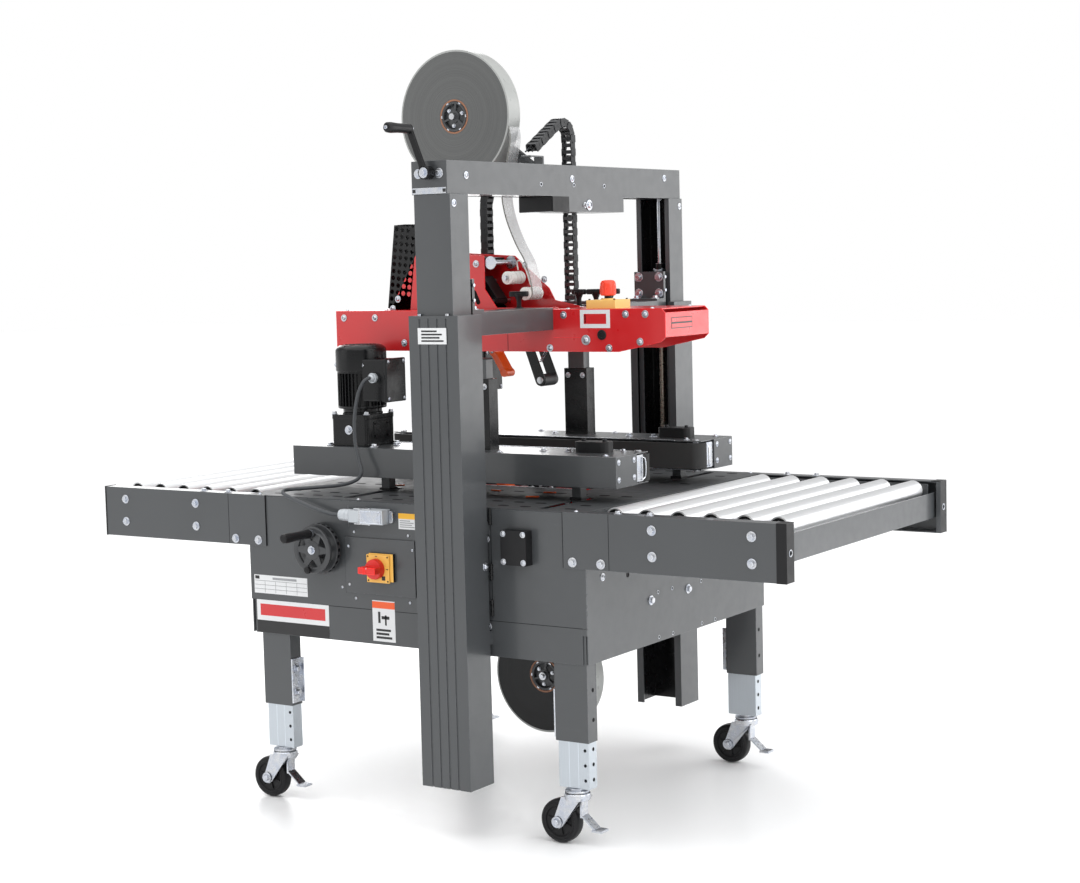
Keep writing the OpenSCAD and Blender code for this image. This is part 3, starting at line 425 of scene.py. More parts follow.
class Shape:
    """One mesh under construction: solids that are joined, each with its finish."""

    def __init__(self, name: str) -> None:
        """Starts an empty mesh."""
        self.name = name
        self.mesh = bmesh.new()
        self.finishes: list[Finish] = []

    def index(self, finish: Finish) -> int:
        """The finish's place in the piece's list, added when new."""
        if finish not in self.finishes:
            self.finishes.append(finish)
        return self.finishes.index(finish)

    def take(self, faces: Iterable[bmesh.types.BMFace], finish: Finish) -> None:
        """Gives faces a finish."""
        index = self.index(finish)
        for face in faces:
            face.material_index = index

    def round_edges(self, faces: Sequence[bmesh.types.BMFace], size: float, finish: Finish, steps: int = 2) -> None:
        """Rounds the sharp edges of new faces, and gives the rounding the lighter edge finish: wear and a painted
        highlight.

        Args:
            faces: The new faces.
            size: Width of the rounding.
            finish: The finish of the faces.
            steps: Facets across the rounding.
        """
        if size <= 0.0:
            return
        edges = {e for f in faces for e in f.edges if len(e.link_faces) == 2 and e.calc_face_angle(0.0) > SHARP}
        bmesh.ops.bevel(
            self.mesh, geom=list(edges), offset=size, offset_type="OFFSET", segments=steps, profile=EDGE_ROUNDNESS,
            affect="EDGES", clamp_overlap=True, material=self.index(finish.worn_and_highlighted()),
        )

    def prism(
        self, finish: Finish, outline: Sequence[Point], place: Matrix, depth: float, bevel: float = 0.0008,
    ) -> None:
        """Adds an outline with a thickness.

        Args:
            finish: Its finish.
            outline: Points in the transform's XY plane, in order.
            place: Where the outline lies.
            depth: Thickness along the transform's +Z.
            bevel: Rounding of its edges.
        """
        corners = [place @ Vector((p[0], p[1], 0.0)) for p in outline]
        lift = (place.to_3x3() @ Vector((0.0, 0.0, 1.0))).normalized() * depth
        low = [self.mesh.verts.new(c) for c in corners]
        high = [self.mesh.verts.new(c + lift) for c in corners]
        count = len(corners)
        faces = [self.mesh.faces.new(low[::-1]), self.mesh.faces.new(high)]
        for i in range(count):
            j = (i + 1) % count
            faces.append(self.mesh.faces.new((low[i], low[j], high[j], high[i])))
        bmesh.ops.recalc_face_normals(self.mesh, faces=faces)
        self.take(faces, finish)
        self.round_edges(faces, bevel, finish)

    def box(self, finish: Finish, low: Point, high: Point, bevel: float = 0.001) -> None:
        """Adds a block with rounded edges between two opposite corners."""
        low, high = ([pick(pair) for pair in zip(low, high)] for pick in (min, max))
        outline = [(low[0], low[1]), (high[0], low[1]), (high[0], high[1]), (low[0], high[1])]
        self.prism(finish, outline, Matrix.Translation((0.0, 0.0, low[2])), high[2] - low[2], bevel)

    def plate(
        self, finish: Finish, outline: Sequence[Point], y: tuple[float, float], bevel: float = 0.0008,
    ) -> None:
        """Adds an XZ outline between two Y values."""
        place = upright(1, 0, y[0])
        self.prism(finish, outline, place, y[1] - y[0], bevel)

    def lathe(
        self, finish: Finish, profile: Sequence[Point], origin: Point, axis: Point, steps: int = 40,
        closed: bool = False, finish_at: Optional[Callable[[int], Finish]] = None,
    ) -> None:
        """Turns a profile around an axis.

        Args:
            finish: Its finish.
            profile: Points of radius and height; a radius of 0 closes the surface.
            origin: Where height 0 lies.
            axis: Direction of the height.
            steps: Facets around the axis.
            closed: Whether the profile is a loop, as on a ring.
            finish_at: The finish of each stretch of the profile, if they differ.
        """
        place = aimed(origin, axis)
        rings = []
        for radius, height in profile:
            if radius < ON_AXIS:
                rings.append([self.mesh.verts.new(place @ Vector((0.0, 0.0, height)))])
                continue
            rings.append([
                self.mesh.verts.new(place @ Vector((
                    radius * cos(2.0 * pi * k / steps), radius * sin(2.0 * pi * k / steps), height,
                )))
                for k in range(steps)
            ])
        made = []
        pairs = list(zip(rings, rings[1:])) + ([(rings[-1], rings[0])] if closed else [])
        for number, (a, b) in enumerate(pairs):
            stretch = []
            for k in range(steps):
                m = (k + 1) % steps
                corners = [a[k % len(a)], a[m % len(a)], b[m % len(b)], b[k % len(b)]]
                unique = list(dict.fromkeys(corners))
                if len(unique) > 2:
                    stretch.append(self.mesh.faces.new(unique))
            self.take(stretch, finish_at(number) if finish_at else finish)
            made += stretch
        bmesh.ops.recalc_face_normals(self.mesh, faces=made)

    def tube(self, finish: Finish, points: Sequence[Point], radius: float, sides: int = 10) -> None:
        """Sweeps a round section along points, with flat ends."""
        line = [Vector(p) for p in points]
        ends = [line[min(i + 1, len(line) - 1)] - line[max(i - 1, 0)] for i in range(len(line))]
        across = Vector((1.0, 0.0, 0.0)) if abs(ends[0].normalized().x) < 0.9 else Vector((0.0, 1.0, 0.0))
        rings = []
        for centre, heading in zip(line, ends):
            heading = heading.normalized()
            across = (across - heading * across.dot(heading)).normalized()
            up = heading.cross(across)
            rings.append([
                self.mesh.verts.new(centre + radius * (
                    cos(2.0 * pi * k / sides) * across + sin(2.0 * pi * k / sides) * up
                ))
                for k in range(sides)
            ])
        faces = [self.mesh.faces.new(rings[0][::-1]), self.mesh.faces.new(rings[-1])]
        for a, b in zip(rings, rings[1:]):
            faces += [self.mesh.faces.new((a[k], a[(k + 1) % sides], b[(k + 1) % sides], b[k])) for k in range(sides)]
        bmesh.ops.recalc_face_normals(self.mesh, faces=faces)
        self.take(faces, finish)

    def ring(self, finish: Finish, origin: Point, axis: Point, radius: float, thick: float, steps: int = 40) -> None:
        """Adds a round wire bent into a circle."""
        section = [
            (radius + thick * cos(2.0 * pi * k / 12), thick * sin(2.0 * pi * k / 12))
            for k in range(12)
        ]
        self.lathe(finish, section, origin, axis, steps, closed=True)

    def node(self, name: str, finish: Finish, zones: Sequence["Zone"] = (), bevel: float = 0.0009) -> None:
        """Adds a CAD node's own form, with its flat faces joined and its sharp edges rounded.

        Args:
            name: The CAD node.
            finish: The finish of its faces.
            zones: Other finishes, each for the faces in a box.
            bevel: Rounding of its edges.
        """
        own = bmesh.new()
        own.from_mesh(frame["nodes"][name].data)
        bmesh.ops.remove_doubles(own, verts=own.verts, dist=WELD)
        bmesh.ops.dissolve_limit(own, angle_limit=FLAT, verts=own.verts, edges=own.edges)
        sharp = [e for e in own.edges if len(e.link_faces) == 2 and e.calc_face_angle(0.0) > NODE_SHARP]
        sizes = {face: self.zone_finish(face, finish, zones) for face in own.faces}
        for face, chosen in sizes.items():
            face.material_index = self.index(chosen)
        rounded = bmesh.ops.bevel(
            own, geom=sharp, offset=bevel, offset_type="OFFSET", segments=2, profile=EDGE_ROUNDNESS, affect="EDGES",
            clamp_overlap=False, material=-1,
        )
        # the rounded faces of powder coat take the lighter edge finish: wear and a painted highlight along the edges
        for face in rounded["faces"]:
            base = self.finishes[face.material_index]
            if isinstance(base, PowderCoat) and not base.name.endswith("_edge"):
                face.material_index = self.index(base.worn_and_highlighted())
        joined = bpy.data.meshes.new(name)
        own.to_mesh(joined)
        own.free()
        self.mesh.from_mesh(joined)
        bpy.data.meshes.remove(joined)

    @staticmethod
    def zone_finish(face: bmesh.types.BMFace, finish: Finish, zones: Sequence["Zone"]) -> Finish:
        """The finish of the first zone that holds the face, or the given one."""
        centre = face.calc_center_bounds()
        for zone in zones:
            if zone.holds(centre):
                return zone.finish
        return finish

    def build(
        self, body: str, slot: str, replaces: Sequence[str] = (), smooth: float = 28.0, ride: bool = True,
    ) -> bpy.types.Object:
        """Turns the mesh into a piece of the model.

        Args:
            body: The CAD body it moves with.
            slot: Not used.
            replaces: CAD nodes that it stands for.
            smooth: Angle in degrees under which edges are shaded smooth.
            ride: Whether it rides on the body already.

        Returns:
            The new object.
        """
        data = bpy.data.meshes.new(self.name)
        self.mesh.to_mesh(data)
        self.mesh.free()
        for finish in self.finishes:
            data.materials.append(finish.material())
        data.polygons.foreach_set("use_smooth", [True] * len(data.polygons))
        data.set_sharp_from_angle(angle=radians(smooth))
        piece = bpy.data.objects.new(self.name, data)
        bpy.context.collection.objects.link(piece)
        if ride:
            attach(piece, body)
        if replaces:
            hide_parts(*replaces)
        LOG.info("%s: %d faces on %s", self.name, len(data.polygons), body)
        return piece


@dataclass(frozen=True)
class Zone:
    """A box between two opposite corners, in the row frame, whose faces take another finish."""

    finish: Finish
    low: Point
    high: Point

    def holds(self, point: Point) -> bool:
        """Whether a point lies in the box."""
        return all(min(a, b) <= p <= max(a, b) for a, p, b in zip(self.low, point, self.high))


FAR = 9.0


def above(finish: Finish, axis: Axis, value: float) -> Zone:
    """A zone past a value on one axis."""
    low = [-FAR, -FAR, -FAR]
    low["XYZ".index(axis.name)] = value
    return Zone(finish, low, (FAR, FAR, FAR))


def below(finish: Finish, axis: Axis, value: float) -> Zone:
    """A zone short of a value on one axis."""
    high = [FAR, FAR, FAR]
    high["XYZ".index(axis.name)] = value
    return Zone(finish, (-FAR, -FAR, -FAR), high)


def arc(centre: Point, radius: float, start: float, end: float, steps: int) -> list[tuple[float, float]]:
    """Points on a flat arc.

    Args:
        centre: Its centre.
        radius: Its radius.
        start: First angle in degrees.
        end: Last angle in degrees.
        steps: Number of stretches.

    Returns:
        The points, ends included.
    """
    angles = [radians(start + (end - start) * i / steps) for i in range(steps + 1)]
    return [(centre[0] + radius * cos(a), centre[1] + radius * sin(a)) for a in angles]


def swept(centre: Vector, radius: float, start: Vector, sweep: float, steps: int) -> list[tuple[float, float]]:
    """Points on an arc about a centre, from a direction through a sweep in radians."""
    base = math.atan2(start.y, start.x)
    angles = [base + sweep * k / steps for k in range(steps + 1)]
    return [(centre.x + radius * cos(a), centre.y + radius * sin(a)) for a in angles]


def disc(radius: float, high: float, low: float = 0.0, rim: Optional[float] = None) -> list[tuple[float, float]]:
    """The profile of a rod between two heights, with another upper radius if it tapers."""
    return [(0.0, low), (radius, low), (rim or radius, high), (0.0, high)]


def dot(radius: float, rise: float) -> list[tuple[float, float]]:
    """The profile of a shallow round mark."""
    return [(radius, 0.0), (radius, rise), (0.0, rise)]


def upright(facing: int, x: float = 0.0, y: float = 0.0, z: float = 0.0) -> Matrix:
    """A transform that stands an outline up in XZ, its thickness towards +Y or -Y."""
    return Matrix(((1, 0, 0, x), (0, 0, facing, y), (0, 1, 0, z), (0, 0, 0, 1)))


def turned(place: Point, degrees: float, axis: str) -> Matrix:
    """A transform moved to a place and turned about its own axis."""
    return Matrix.Translation(place) @ Matrix.Rotation(radians(degrees), 4, axis)


def rounded_outline(low: Point, high: Point, radius: float, steps: int = 6) -> list[tuple[float, float]]:
    """A rectangle's outline with round corners."""
    corners = ((high[0], high[1], 0.0), (low[0], high[1], 90.0), (low[0], low[1], 180.0), (high[0], low[1], 270.0))
    outline: list[tuple[float, float]] = []
    for x, y, start in corners:
        centre = (x - copysign(radius, x - (low[0] + high[0]) / 2), y - copysign(radius, y - (low[1] + high[1]) / 2))
        outline += arc(centre, radius, start, start + 90.0, steps)
    return outline


class Screw(Enum):
    """Kinds of screw head."""

    HEX = "hex"
    SOCKET = "socket"
    BUTTON = "button"


class Fasteners(Shape):
    """Screws on one body, with their washers."""

    def screw(
        self, place: Point, axis: Point, radius: float = 0.0065, kind: Screw = Screw.HEX, finish: Finish = ZINC,
        washer: float = 1.55,
    ) -> None:
        """Adds one screw head.

        Args:
            place: Where its axis meets the surface.
            axis: Direction away from the surface.
            radius: Radius of the head.
            kind: Its form.
            finish: Its finish.
            washer: The washer's radius as a share of the head's, or 0 for none.
        """
        rise = 0.0
        if washer:
            rim, thick = radius * washer, radius * 0.26
            self.lathe(
                finish, [(0.0, 0.0), (rim, 0.0), (rim, thick * 0.7), (rim * 0.94, thick), (0.0, thick)], place,
                axis, 20,
            )
            rise = thick
        if kind is Screw.BUTTON:
            profile = [(radius, rise)] + [
                (radius * cos(radians(a)), rise + radius * 0.62 * sin(radians(a))) for a in (15, 35, 55)
            ]
            profile += [
                (radius * 0.42, rise + radius * 0.58), (radius * 0.4, rise + radius * 0.25),
                (0.0, rise + radius * 0.2),
            ]
            self.lathe(finish, profile, place, axis, 18)
            return
        if kind is Screw.SOCKET:
            top = rise + radius * 1.05
            profile = [
                (radius, rise), (radius, top - radius * 0.12), (radius * 0.9, top), (radius * 0.58, top),
                (radius * 0.52, top - radius * 0.55), (0.0, top - radius * 0.6),
            ]
            self.lathe(finish, profile, place, axis, 18)
            return
        centre = aimed(place, axis)
        hexagon = arc((0.0, 0.0), radius, 0, 300, 5)
        self.prism(finish, hexagon, centre @ Matrix.Translation((0.0, 0.0, rise)), radius * 0.72, radius * 0.09)
        top = rise + radius * 0.72
        self.lathe(
            finish,
            [(radius * 0.82, top - 0.0002), (radius * 0.74, top + radius * 0.07), (0.0, top + radius * 0.07)],
            place, axis, 18,
        )

    def grid(self, spans: Sequence[object], axis: Point, *kinds: object, **options: object) -> None:
        """Adds a screw at every combination of the places given along X, Y and Z."""
        for place in product(*(span if isinstance(span, tuple) else (span,) for span in spans)):
            self.screw(place, axis, *kinds, **options)

    def row(self, places: Iterable[Point], axis: Point, **kinds: object) -> None:
        """Adds a screw at each place."""
        for place in places:
            self.screw(place, axis, **kinds)


def spline(points: Sequence[Point], steps: int) -> list[Vector]:
    """A smooth line through points.

    Args:
        points: The points, in order.
        steps: Stretches between two of them.

    Returns:
        The points on the line.
    """
    fixed = [Vector(p) for p in points]
    line = []
    for i in range(len(fixed) - 1):
        a, b = fixed[max(i - 1, 0)], fixed[i]
        c, d = fixed[i + 1], fixed[min(i + 2, len(fixed) - 1)]
        for k in range(steps):
            t = k / steps
            line.append(
                0.5 * (2 * b + (c - a) * t + (2 * a - 5 * b + 4 * c - d) * t * t + (3 * b - a - 3 * c + d) * t ** 3)
            )
    return line + [fixed[-1]]


def length_of(line: Sequence[Vector]) -> float:
    """Length along a line of points."""
    return sum((b - a).length for a, b in zip(line, line[1:]))


# ---------------------------------------------------------------- camera and light


@dataclass
class Studio:
    """The camera, the lights and the floor."""

    eye: tuple[float, float, float] = (2.8186, -4.1747, 1.3105)
    azimuth: float = 33.149
    pitch: float = -5.175
    roll: float = -1.434
    lens: float = 67.795
    sensor: float = 36.0
    floor_size: float = 60.0
    ceiling: float = 2.85
    ambient: float = 0.46

    def camera(self) -> None:
        """Places the camera at its stand."""
        a, e, r = (radians(v) for v in (self.azimuth, self.pitch, self.roll))
        ahead = Vector((-sin(a) * cos(e), cos(a) * cos(e), sin(e)))
        right = Vector((cos(a), sin(a), 0.0))
        up = right.cross(ahead)
        tilted = cos(r) * right + sin(r) * up
        upward = -sin(r) * right + cos(r) * up
        data = bpy.data.cameras.new("camera")
        data.lens, data.sensor_width, data.sensor_fit = self.lens, self.sensor, "HORIZONTAL"
        data.clip_end = 60.0
        camera = bpy.data.objects.new("camera", data)
        camera.matrix_world = Matrix.Translation(self.eye) @ Matrix((tilted, upward, -ahead)).transposed().to_4x4()
        bpy.context.collection.objects.link(camera)
        bpy.context.scene.camera = camera

    def lamp(self, name: str, place: Point, target: Point, size: tuple[float, float], power: float) -> None:
        """Hangs one soft light.

        Args:
            name: Its name.
            place: Where it hangs.
            target: Where it points.
            size: Its width and height.
            power: Its power in watts.
        """
        data = bpy.data.lights.new(name, "AREA")
        data.shape, data.size, data.size_y, data.energy = "RECTANGLE", size[0], size[1], power
        light = bpy.data.objects.new(name, data)
        light.location = place
        light.visible_camera = False
        light.rotation_euler = (Vector(target) - Vector(place)).to_track_quat("-Z", "Y").to_euler()
        bpy.context.collection.objects.link(light)

    def lights(self) -> None:
        """Hangs the lights and sets the pale surroundings."""
        self.lamp("right_softbox", (3.4, 3.9, 1.9), (0.1, 0.0, 0.9), (3.4, 2.8), 62.0)
        self.lamp("right_window", (4.6, -0.6, 2.4), (0.0, 0.0, 0.8), (3.0, 3.0), 70.0)
        self.lamp("left_fill", (-3.6, -3.4, 2.2), (0.0, 0.0, 0.8), (3.0, 2.6), 22.0)
        self.lamp("rear_left", (-3.4, 3.2, 2.2), (0.0, 0.0, 0.8), (2.6, 2.6), 60.0)
        data = bpy.data.lights.new("ceiling", "SUN")
        data.energy, data.angle = self.ceiling, radians(110.0)
        ceiling = bpy.data.objects.new("ceiling", data)
        ceiling.rotation_euler = Vector((-0.16, 0.14, -1.0)).to_track_quat("-Z", "Y").to_euler()
        bpy.context.collection.objects.link(ceiling)
        world = bpy.data.worlds.new("surroundings")
        bpy.context.scene.world = world
        world.use_nodes = True
        background = world.node_tree.nodes["Background"]
        background.inputs[0].default_value = (1.0, 1.0, 1.0, 1.0)
        seen = world.node_tree.nodes.new("ShaderNodeMix")
        seen.inputs[2].default_value, seen.inputs[3].default_value = self.ambient, 1.0
        path = world.node_tree.nodes.new("ShaderNodeLightPath")
        world.node_tree.links.new(path.outputs["Is Camera Ray"], seen.inputs[0])
        world.node_tree.links.new(seen.outputs[0], background.inputs[1])
        bpy.context.scene.view_settings.view_transform = "Standard"

    def floor(self) -> None:
        """Lays the pale floor."""
        half = self.floor_size / 2
        shape = Shape("floor")
        corners = [
            shape.mesh.verts.new((x, y, -0.0006))
            for x, y in ((-half, -half), (half, -half), (half, half), (-half, half))
        ]
        shape.take([shape.mesh.faces.new(corners)], FLOOR)
        data = bpy.data.meshes.new("floor")
        shape.mesh.to_mesh(data)
        shape.mesh.free()
        data.materials.append(FLOOR.material())
        sheet = bpy.data.objects.new("floor", data)
        bpy.context.collection.objects.link(sheet)
        sheet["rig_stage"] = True

    def build(self) -> None:
        """Sets up the whole studio."""
        self.camera()
        self.lights()
        self.floor()


# ---------------------------------------------------------------- cord


@dataclass
class MotorCord:
    """The front motor's cord, from its gland down over the bed to the connector."""

    radius: float = 0.0045
    route: tuple[Point, ...] = (
        (-0.223, -0.268, 1.028), (-0.223, -0.273, 1.028), (-0.23, -0.284, 1.019), (-0.241, -0.293, 0.988),
        (-0.248, -0.299, 0.935), (-0.246, -0.303, 0.88), (-0.234, -0.307, 0.835), (-0.222, -0.312, 0.805),
        (-0.232, -0.32, 0.785), (-0.268, -0.332, 0.773), (-0.315, -0.352, 0.768), (-0.35, -0.38, 0.766),
        (-0.366, -0.408, 0.766), (-0.366, -0.432, 0.766), (-0.355, -0.447, 0.76), (-0.325, -0.45, 0.75),
        (-0.268, -0.45, 0.732), (-0.215, -0.447, 0.719), (-0.19, -0.447, 0.718), (-0.1826, -0.447, 0.718),
    )

    def build(self) -> None:
        """Makes the cord."""
        line = spline(self.route, 5)
        shape = Shape("motor_cord_flex")
        shape.tube(SHEATH, line, self.radius, 14)
        piece = shape.build(FRAME, "cord_grey", ["motor_cord"], smooth=60.0, ride=False)
        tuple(self.route[0])
        round(length_of(line), 3)
        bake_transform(piece)


# ---------------------------------------------------------------- shared pieces


def dress(
    name: str, node: str, finish: Finish, body: str, slot: str, zones: Sequence[Zone] = (), bevel: float = 0.0009,
) -> bpy.types.Object:
    """Shows one CAD node with joined faces, rounded edges and its finishes.

    Args:
        name: The new piece's name.
        node: The CAD node.
        finish: The finish of its faces.
        body: The body it moves with.
        slot: Not used; it is only passed on.
        zones: Other finishes by region.
        bevel: Rounding of its edges.

    Returns:
        The piece.
    """
    shape = Shape(name)
    shape.node(node, finish, zones, bevel)
    return shape.build(body, slot, [node])


def settle_normals(pieces: Iterable[bpy.types.Object]) -> None:
    """Keeps flat faces flat beside their rounded edges, by weighting the shading by area.

    Args:
        pieces: The mesh objects.
    """
    pieces = [p for p in pieces if p.type == "MESH" and "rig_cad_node" not in p]
    for piece in pieces:
        modifier = piece.modifiers.new("weighting", "WEIGHTED_NORMAL")
        modifier.mode, modifier.weight, modifier.keep_sharp = "FACE_AREA", 60, True
    graph = bpy.context.evaluated_depsgraph_get()
    for piece in pieces:
        baked = bpy.data.meshes.new_from_object(
            piece.evaluated_get(graph), preserve_all_data_layers=True, depsgraph=graph,
        )
        piece.modifiers.clear()
        piece.data = baked
    LOG.info("normals settled on %d pieces", len(pieces))


@dataclass
class Label:
    """A film label on a flat face, with plain blocks where print would be."""

    centre: tuple[float, float, float]
    size: tuple[float, float]
    across: tuple[float, float, float] = (1.0, 0.0, 0.0)
    out: tuple[float, float, float] = (0.0, -1.0, 0.0)
    ground: Finish = PALE_LABEL
    thick: float = 0.0004

    def block(self, shape: Shape, finish: Finish, low: Point, high: Point, layer: int) -> None:
        """Adds a flat block of ink.

        Args:
            shape: The mesh it joins.
            finish: Its finish.
            low: Its lower left corner, as shares of the label's half size from -1 to 1.
            high: Its upper right corner.
            layer: How many blocks lie under it.
        """
        across, out = Vector(self.across), Vector(self.out)
        up = out.cross(across)
        if up.z < 0.0:
            up = -up
        place = Matrix((across, up, out)).transposed().to_4x4()
        place.translation = Vector(self.centre) + out * (layer * self.thick * 0.6 - 0.0001)
        w, h = self.size[0] / 2, self.size[1] / 2
        outline = [
            (low[0] * w, low[1] * h), (high[0] * w, low[1] * h), (high[0] * w, high[1] * h),
            (low[0] * w, high[1] * h),
        ]
        shape.prism(finish, outline, place, self.thick, 0.0)

    def add(self, shape: Shape, blocks: Sequence[tuple[Finish, Point, Point]] = ()) -> None:
        """Adds the label and its blocks to a mesh."""
        self.block(shape, self.ground, (-1.0, -1.0), (1.0, 1.0), 0)
        for finish, low, high in blocks:
            self.block(shape, finish, low, high, 1)


def lines(
    finish: Finish, low: Point, high: Point, count: int, fill: float = 0.45,
) -> list[tuple[Finish, Point, Point]]:
    """Rows of ink that stand for lines of print.

    Args:
        finish: The ink.
        low: Lower left corner of the rows.
        high: Upper right corner.
        count: How many rows.
        fill: How much of the pitch a row takes.

    Returns:
        The rows as blocks.
    """
    pitch = (high[1] - low[1]) / count
    rows = []
    for i in range(count):
        base = low[1] + i * pitch + pitch * (1.0 - fill) / 2
        reach = high[0] - (high[0] - low[0]) * (0.0, 0.18, 0.07, 0.3)[i % 4]
        rows.append((finish, (low[0], base), (reach, base + pitch * fill)))
    return rows


# ---------------------------------------------------------------- bed


@dataclass
class Bed:
    """The bed's sheets, with their bolts, seams, hinges and labels."""

    front: float = -0.43
    end: float = 0.484
    top: float = 0.752

    def build(self) -> None:
        """Makes the bed."""
        dress("front_sheet", "front_panel", PAINT, FRAME, "body_paint")
        dress("bed_sheets", "bed_body", PAINT, FRAME, "body_paint")
        dress("deck_plate", "bed_deck", DECK_PAINT, FRAME, "deck_paint", [below(PAINT, Axis.Z, 0.7489)], 0.0007)
        self.bolts()
        self.seams()
        self.labels()
        self.deck_parts()

    def bolts(self) -> None:
        """Puts in the sheets' screws."""
        screws = Fasteners("bed_screws")
        toward = (0.0, -1.0, 0.0)
        door = (
            (-0.173, 0.642), (0.015, 0.642), (-0.173, 0.551), (-0.198, 0.542), (-0.158, 0.676), (0.001, 0.675),
            (-0.158, 0.518), (0.001, 0.518),
        )
        for x, z in door:
            depth = -0.434 if -0.184 < x < 0.021 and 0.531 < z < 0.664 else self.front
            screws.screw((x, depth, z), toward, 0.0036, Screw.BUTTON, washer=0.0)
        for y in (-0.148, 0.029):
            for side in (1, -1):
                screws.screw((side * self.end, y, 0.515), (side, 0, 0), 0.0075)
        for y, z in (
            (-0.115, 0.529), (-0.048, 0.528), (0.094, 0.524), (0.095, 0.421), (0.162, 0.42), (-0.048, 0.421),
            (-0.114, 0.423),
        ):
            for side in (1, -1):
                screws.lathe(
                    ZINC, [(0.0046, 0.0), (0.0046, 0.0005), (0.0034, 0.0005), (0.0034, 0.0002)],
                    (side * self.end, y, z), (side, 0, 0), 16,
                )
                screws.lathe(HOLE, [(0.0034, 0.0002), (0.0, 0.0002)], (side * self.end, y, z), (side, 0, 0), 16)
        for side in (1, -1):
            screws.grid((side * self.end, (-0.36, 0.36), 0.6), (side, 0, 0), 0.006, Screw.BUTTON)
        for x in (-0.46, -0.25, 0.06, 0.3, 0.46):
            screws.screw((x, 0.43, 0.735), (0, 1, 0), 0.005, Screw.BUTTON)
            screws.screw((x, 0.43, 0.455), (0, 1, 0), 0.005, Screw.BUTTON)
        screws.grid(
            ((-0.455, -0.15, 0.15, 0.455), (-0.418, 0.418), self.top), (0, 0, 1), 0.005, Screw.BUTTON, washer=0.0,
        )
        for column in (0.107, 0.221):
            for z in (0.48, 0.68):
                screws.screw((column, 0.43, z), (0, 1, 0), 0.006)
                screws.screw((column, self.front, z), toward, 0.006)
        screws.build(FRAME, "zinc", smooth=40.0)

    def seams(self) -> None:
        """Draws the gaps between sheets, and hangs the door's hinges."""
        shape = Shape("bed_seams")
        y = self.front - 0.0002
        strips = [
            ((-0.1845, y, 0.5305), (-0.1835, -0.4335, 0.6645)), ((0.2335, y, 0.5), (0.235, self.front, 0.745)),
            ((-0.4725, y, 0.4932), (0.4725, self.front, 0.4944)),
        ]
        for low, high in strips:
            shape.box(HOLE, low, high, 0.0)
        for z in (0.523, 0.605, 0.731):
            for part in range(3):
                base = z - 0.018 + part * 0.0125
                shape.lathe(BLACK_PAINT, disc(0.0038, 0.0118), (0.2345, self.front - 0.002, base), (0, 0, 1), 14)
        shape.box(PAINT, (0.47, -0.4305, 0.478), (0.4835, -0.424, 0.4935), 0.0005)
        shape.build(FRAME, "body_paint", smooth=40.0)

    def labels(self) -> None:
        """Sticks on the labels, each a plain stand-in."""
        shape = Shape("bed_labels")
        y = self.front - 0.0001
        caution = Label((0.0, y, 0.7085), (0.05, 0.037))
        caution.add(shape, [(AMBER_LABEL, (-1, 0.3), (1, 1)), *lines(GREY_LABEL, (-0.85, -0.85), (0.85, 0.2), 4)])
        rating = Label((-0.389, y, 0.5325), (0.167, 0.045))
        grid = [(GREY_LABEL, (-0.98, v), (0.98, v + 0.05)) for v in (-0.55, -0.1, 0.35)]
        grid += [(GREY_LABEL, (u, -0.9), (u + 0.012, 0.35)) for u in (-0.6, -0.2, 0.2, 0.6)]
        rating.add(shape, grid + [(DARK_LABEL, (-0.96, 0.55), (-0.8, 0.9)), (GREY_LABEL, (-0.3, 0.55), (0.6, 0.8))])
        maker = Label((-0.3545, y, 0.4535), (0.225, 0.081), ground=PALE_LABEL)
        maker.add(shape, [(DARK_LABEL, (-1, -1), (1, -0.25)), (RED, (-0.9, 0.05), (0.9, 0.75))])
        warning = Label((-0.077, y, 0.4685), (0.066, 0.097))
        warning.add(shape, [
            (ORANGE, (-1, 0.62), (1, 0.95)), *lines(DARK_LABEL, (-0.7, -0.9), (0.7, -0.35), 3, 0.6),
            (
                DARK_LABEL, (-0.5, -0.1), (-0.3, 0.45),
            ), (DARK_LABEL, (-0.2, 0.1), (0.5, 0.25)), (DARK_LABEL, (0.1, -0.2), (0.25, 0.3)),
        ])
        shape.build(FRAME, "body_paint")

    def deck_parts(self) -> None:
        """Sets the orange levers into the deck's slots, and the flap plates beside its opening."""
        shape = Shape("deck_levers")
        for x, y, turn in ((0.215, -0.226, 0.4), (0.209, -0.142, 0.2), (0.06, -0.15, -0.3), (-0.24, -0.142, 0.3)):
            place = Matrix.Translation((x, y, self.top + 0.0001)) @ Matrix.Rotation(turn, 4, "Z")
            shape.prism(ORANGE, rounded_outline((-0.016, -0.005), (0.016, 0.005), 0.004, 4), place, 0.003, 0.0008)
        for y in (-0.0595, 0.0595):
            half = 0.0035
            shape.box(STEEL, (-0.228, y - half, self.top), (0.258, y + half, self.top + 0.0015), 0.0005)
        shape.build(FRAME, "guard_orange")
        wells = Shape("deck_slot_wells")
        for y in (-0.385, -0.32, -0.14, 0.14, 0.32, 0.385):
            for number in range(15):
                x = -0.42 + 0.06 * number
                if abs(y) < 0.2 or min(abs(x + 0.2), abs(x - 0.35)) > 0.034:
                    place = Matrix.Translation((x, y, self.top + 0.0001))
                    wells.prism(
                        HOLE, rounded_outline((-0.014, -0.0062), (0.014, 0.0062), 0.006, 4), place, 0.0003, 0.0,
                    )
        wells.build(FRAME, "deck_paint")


# ---------------------------------------------------------------- conveyors


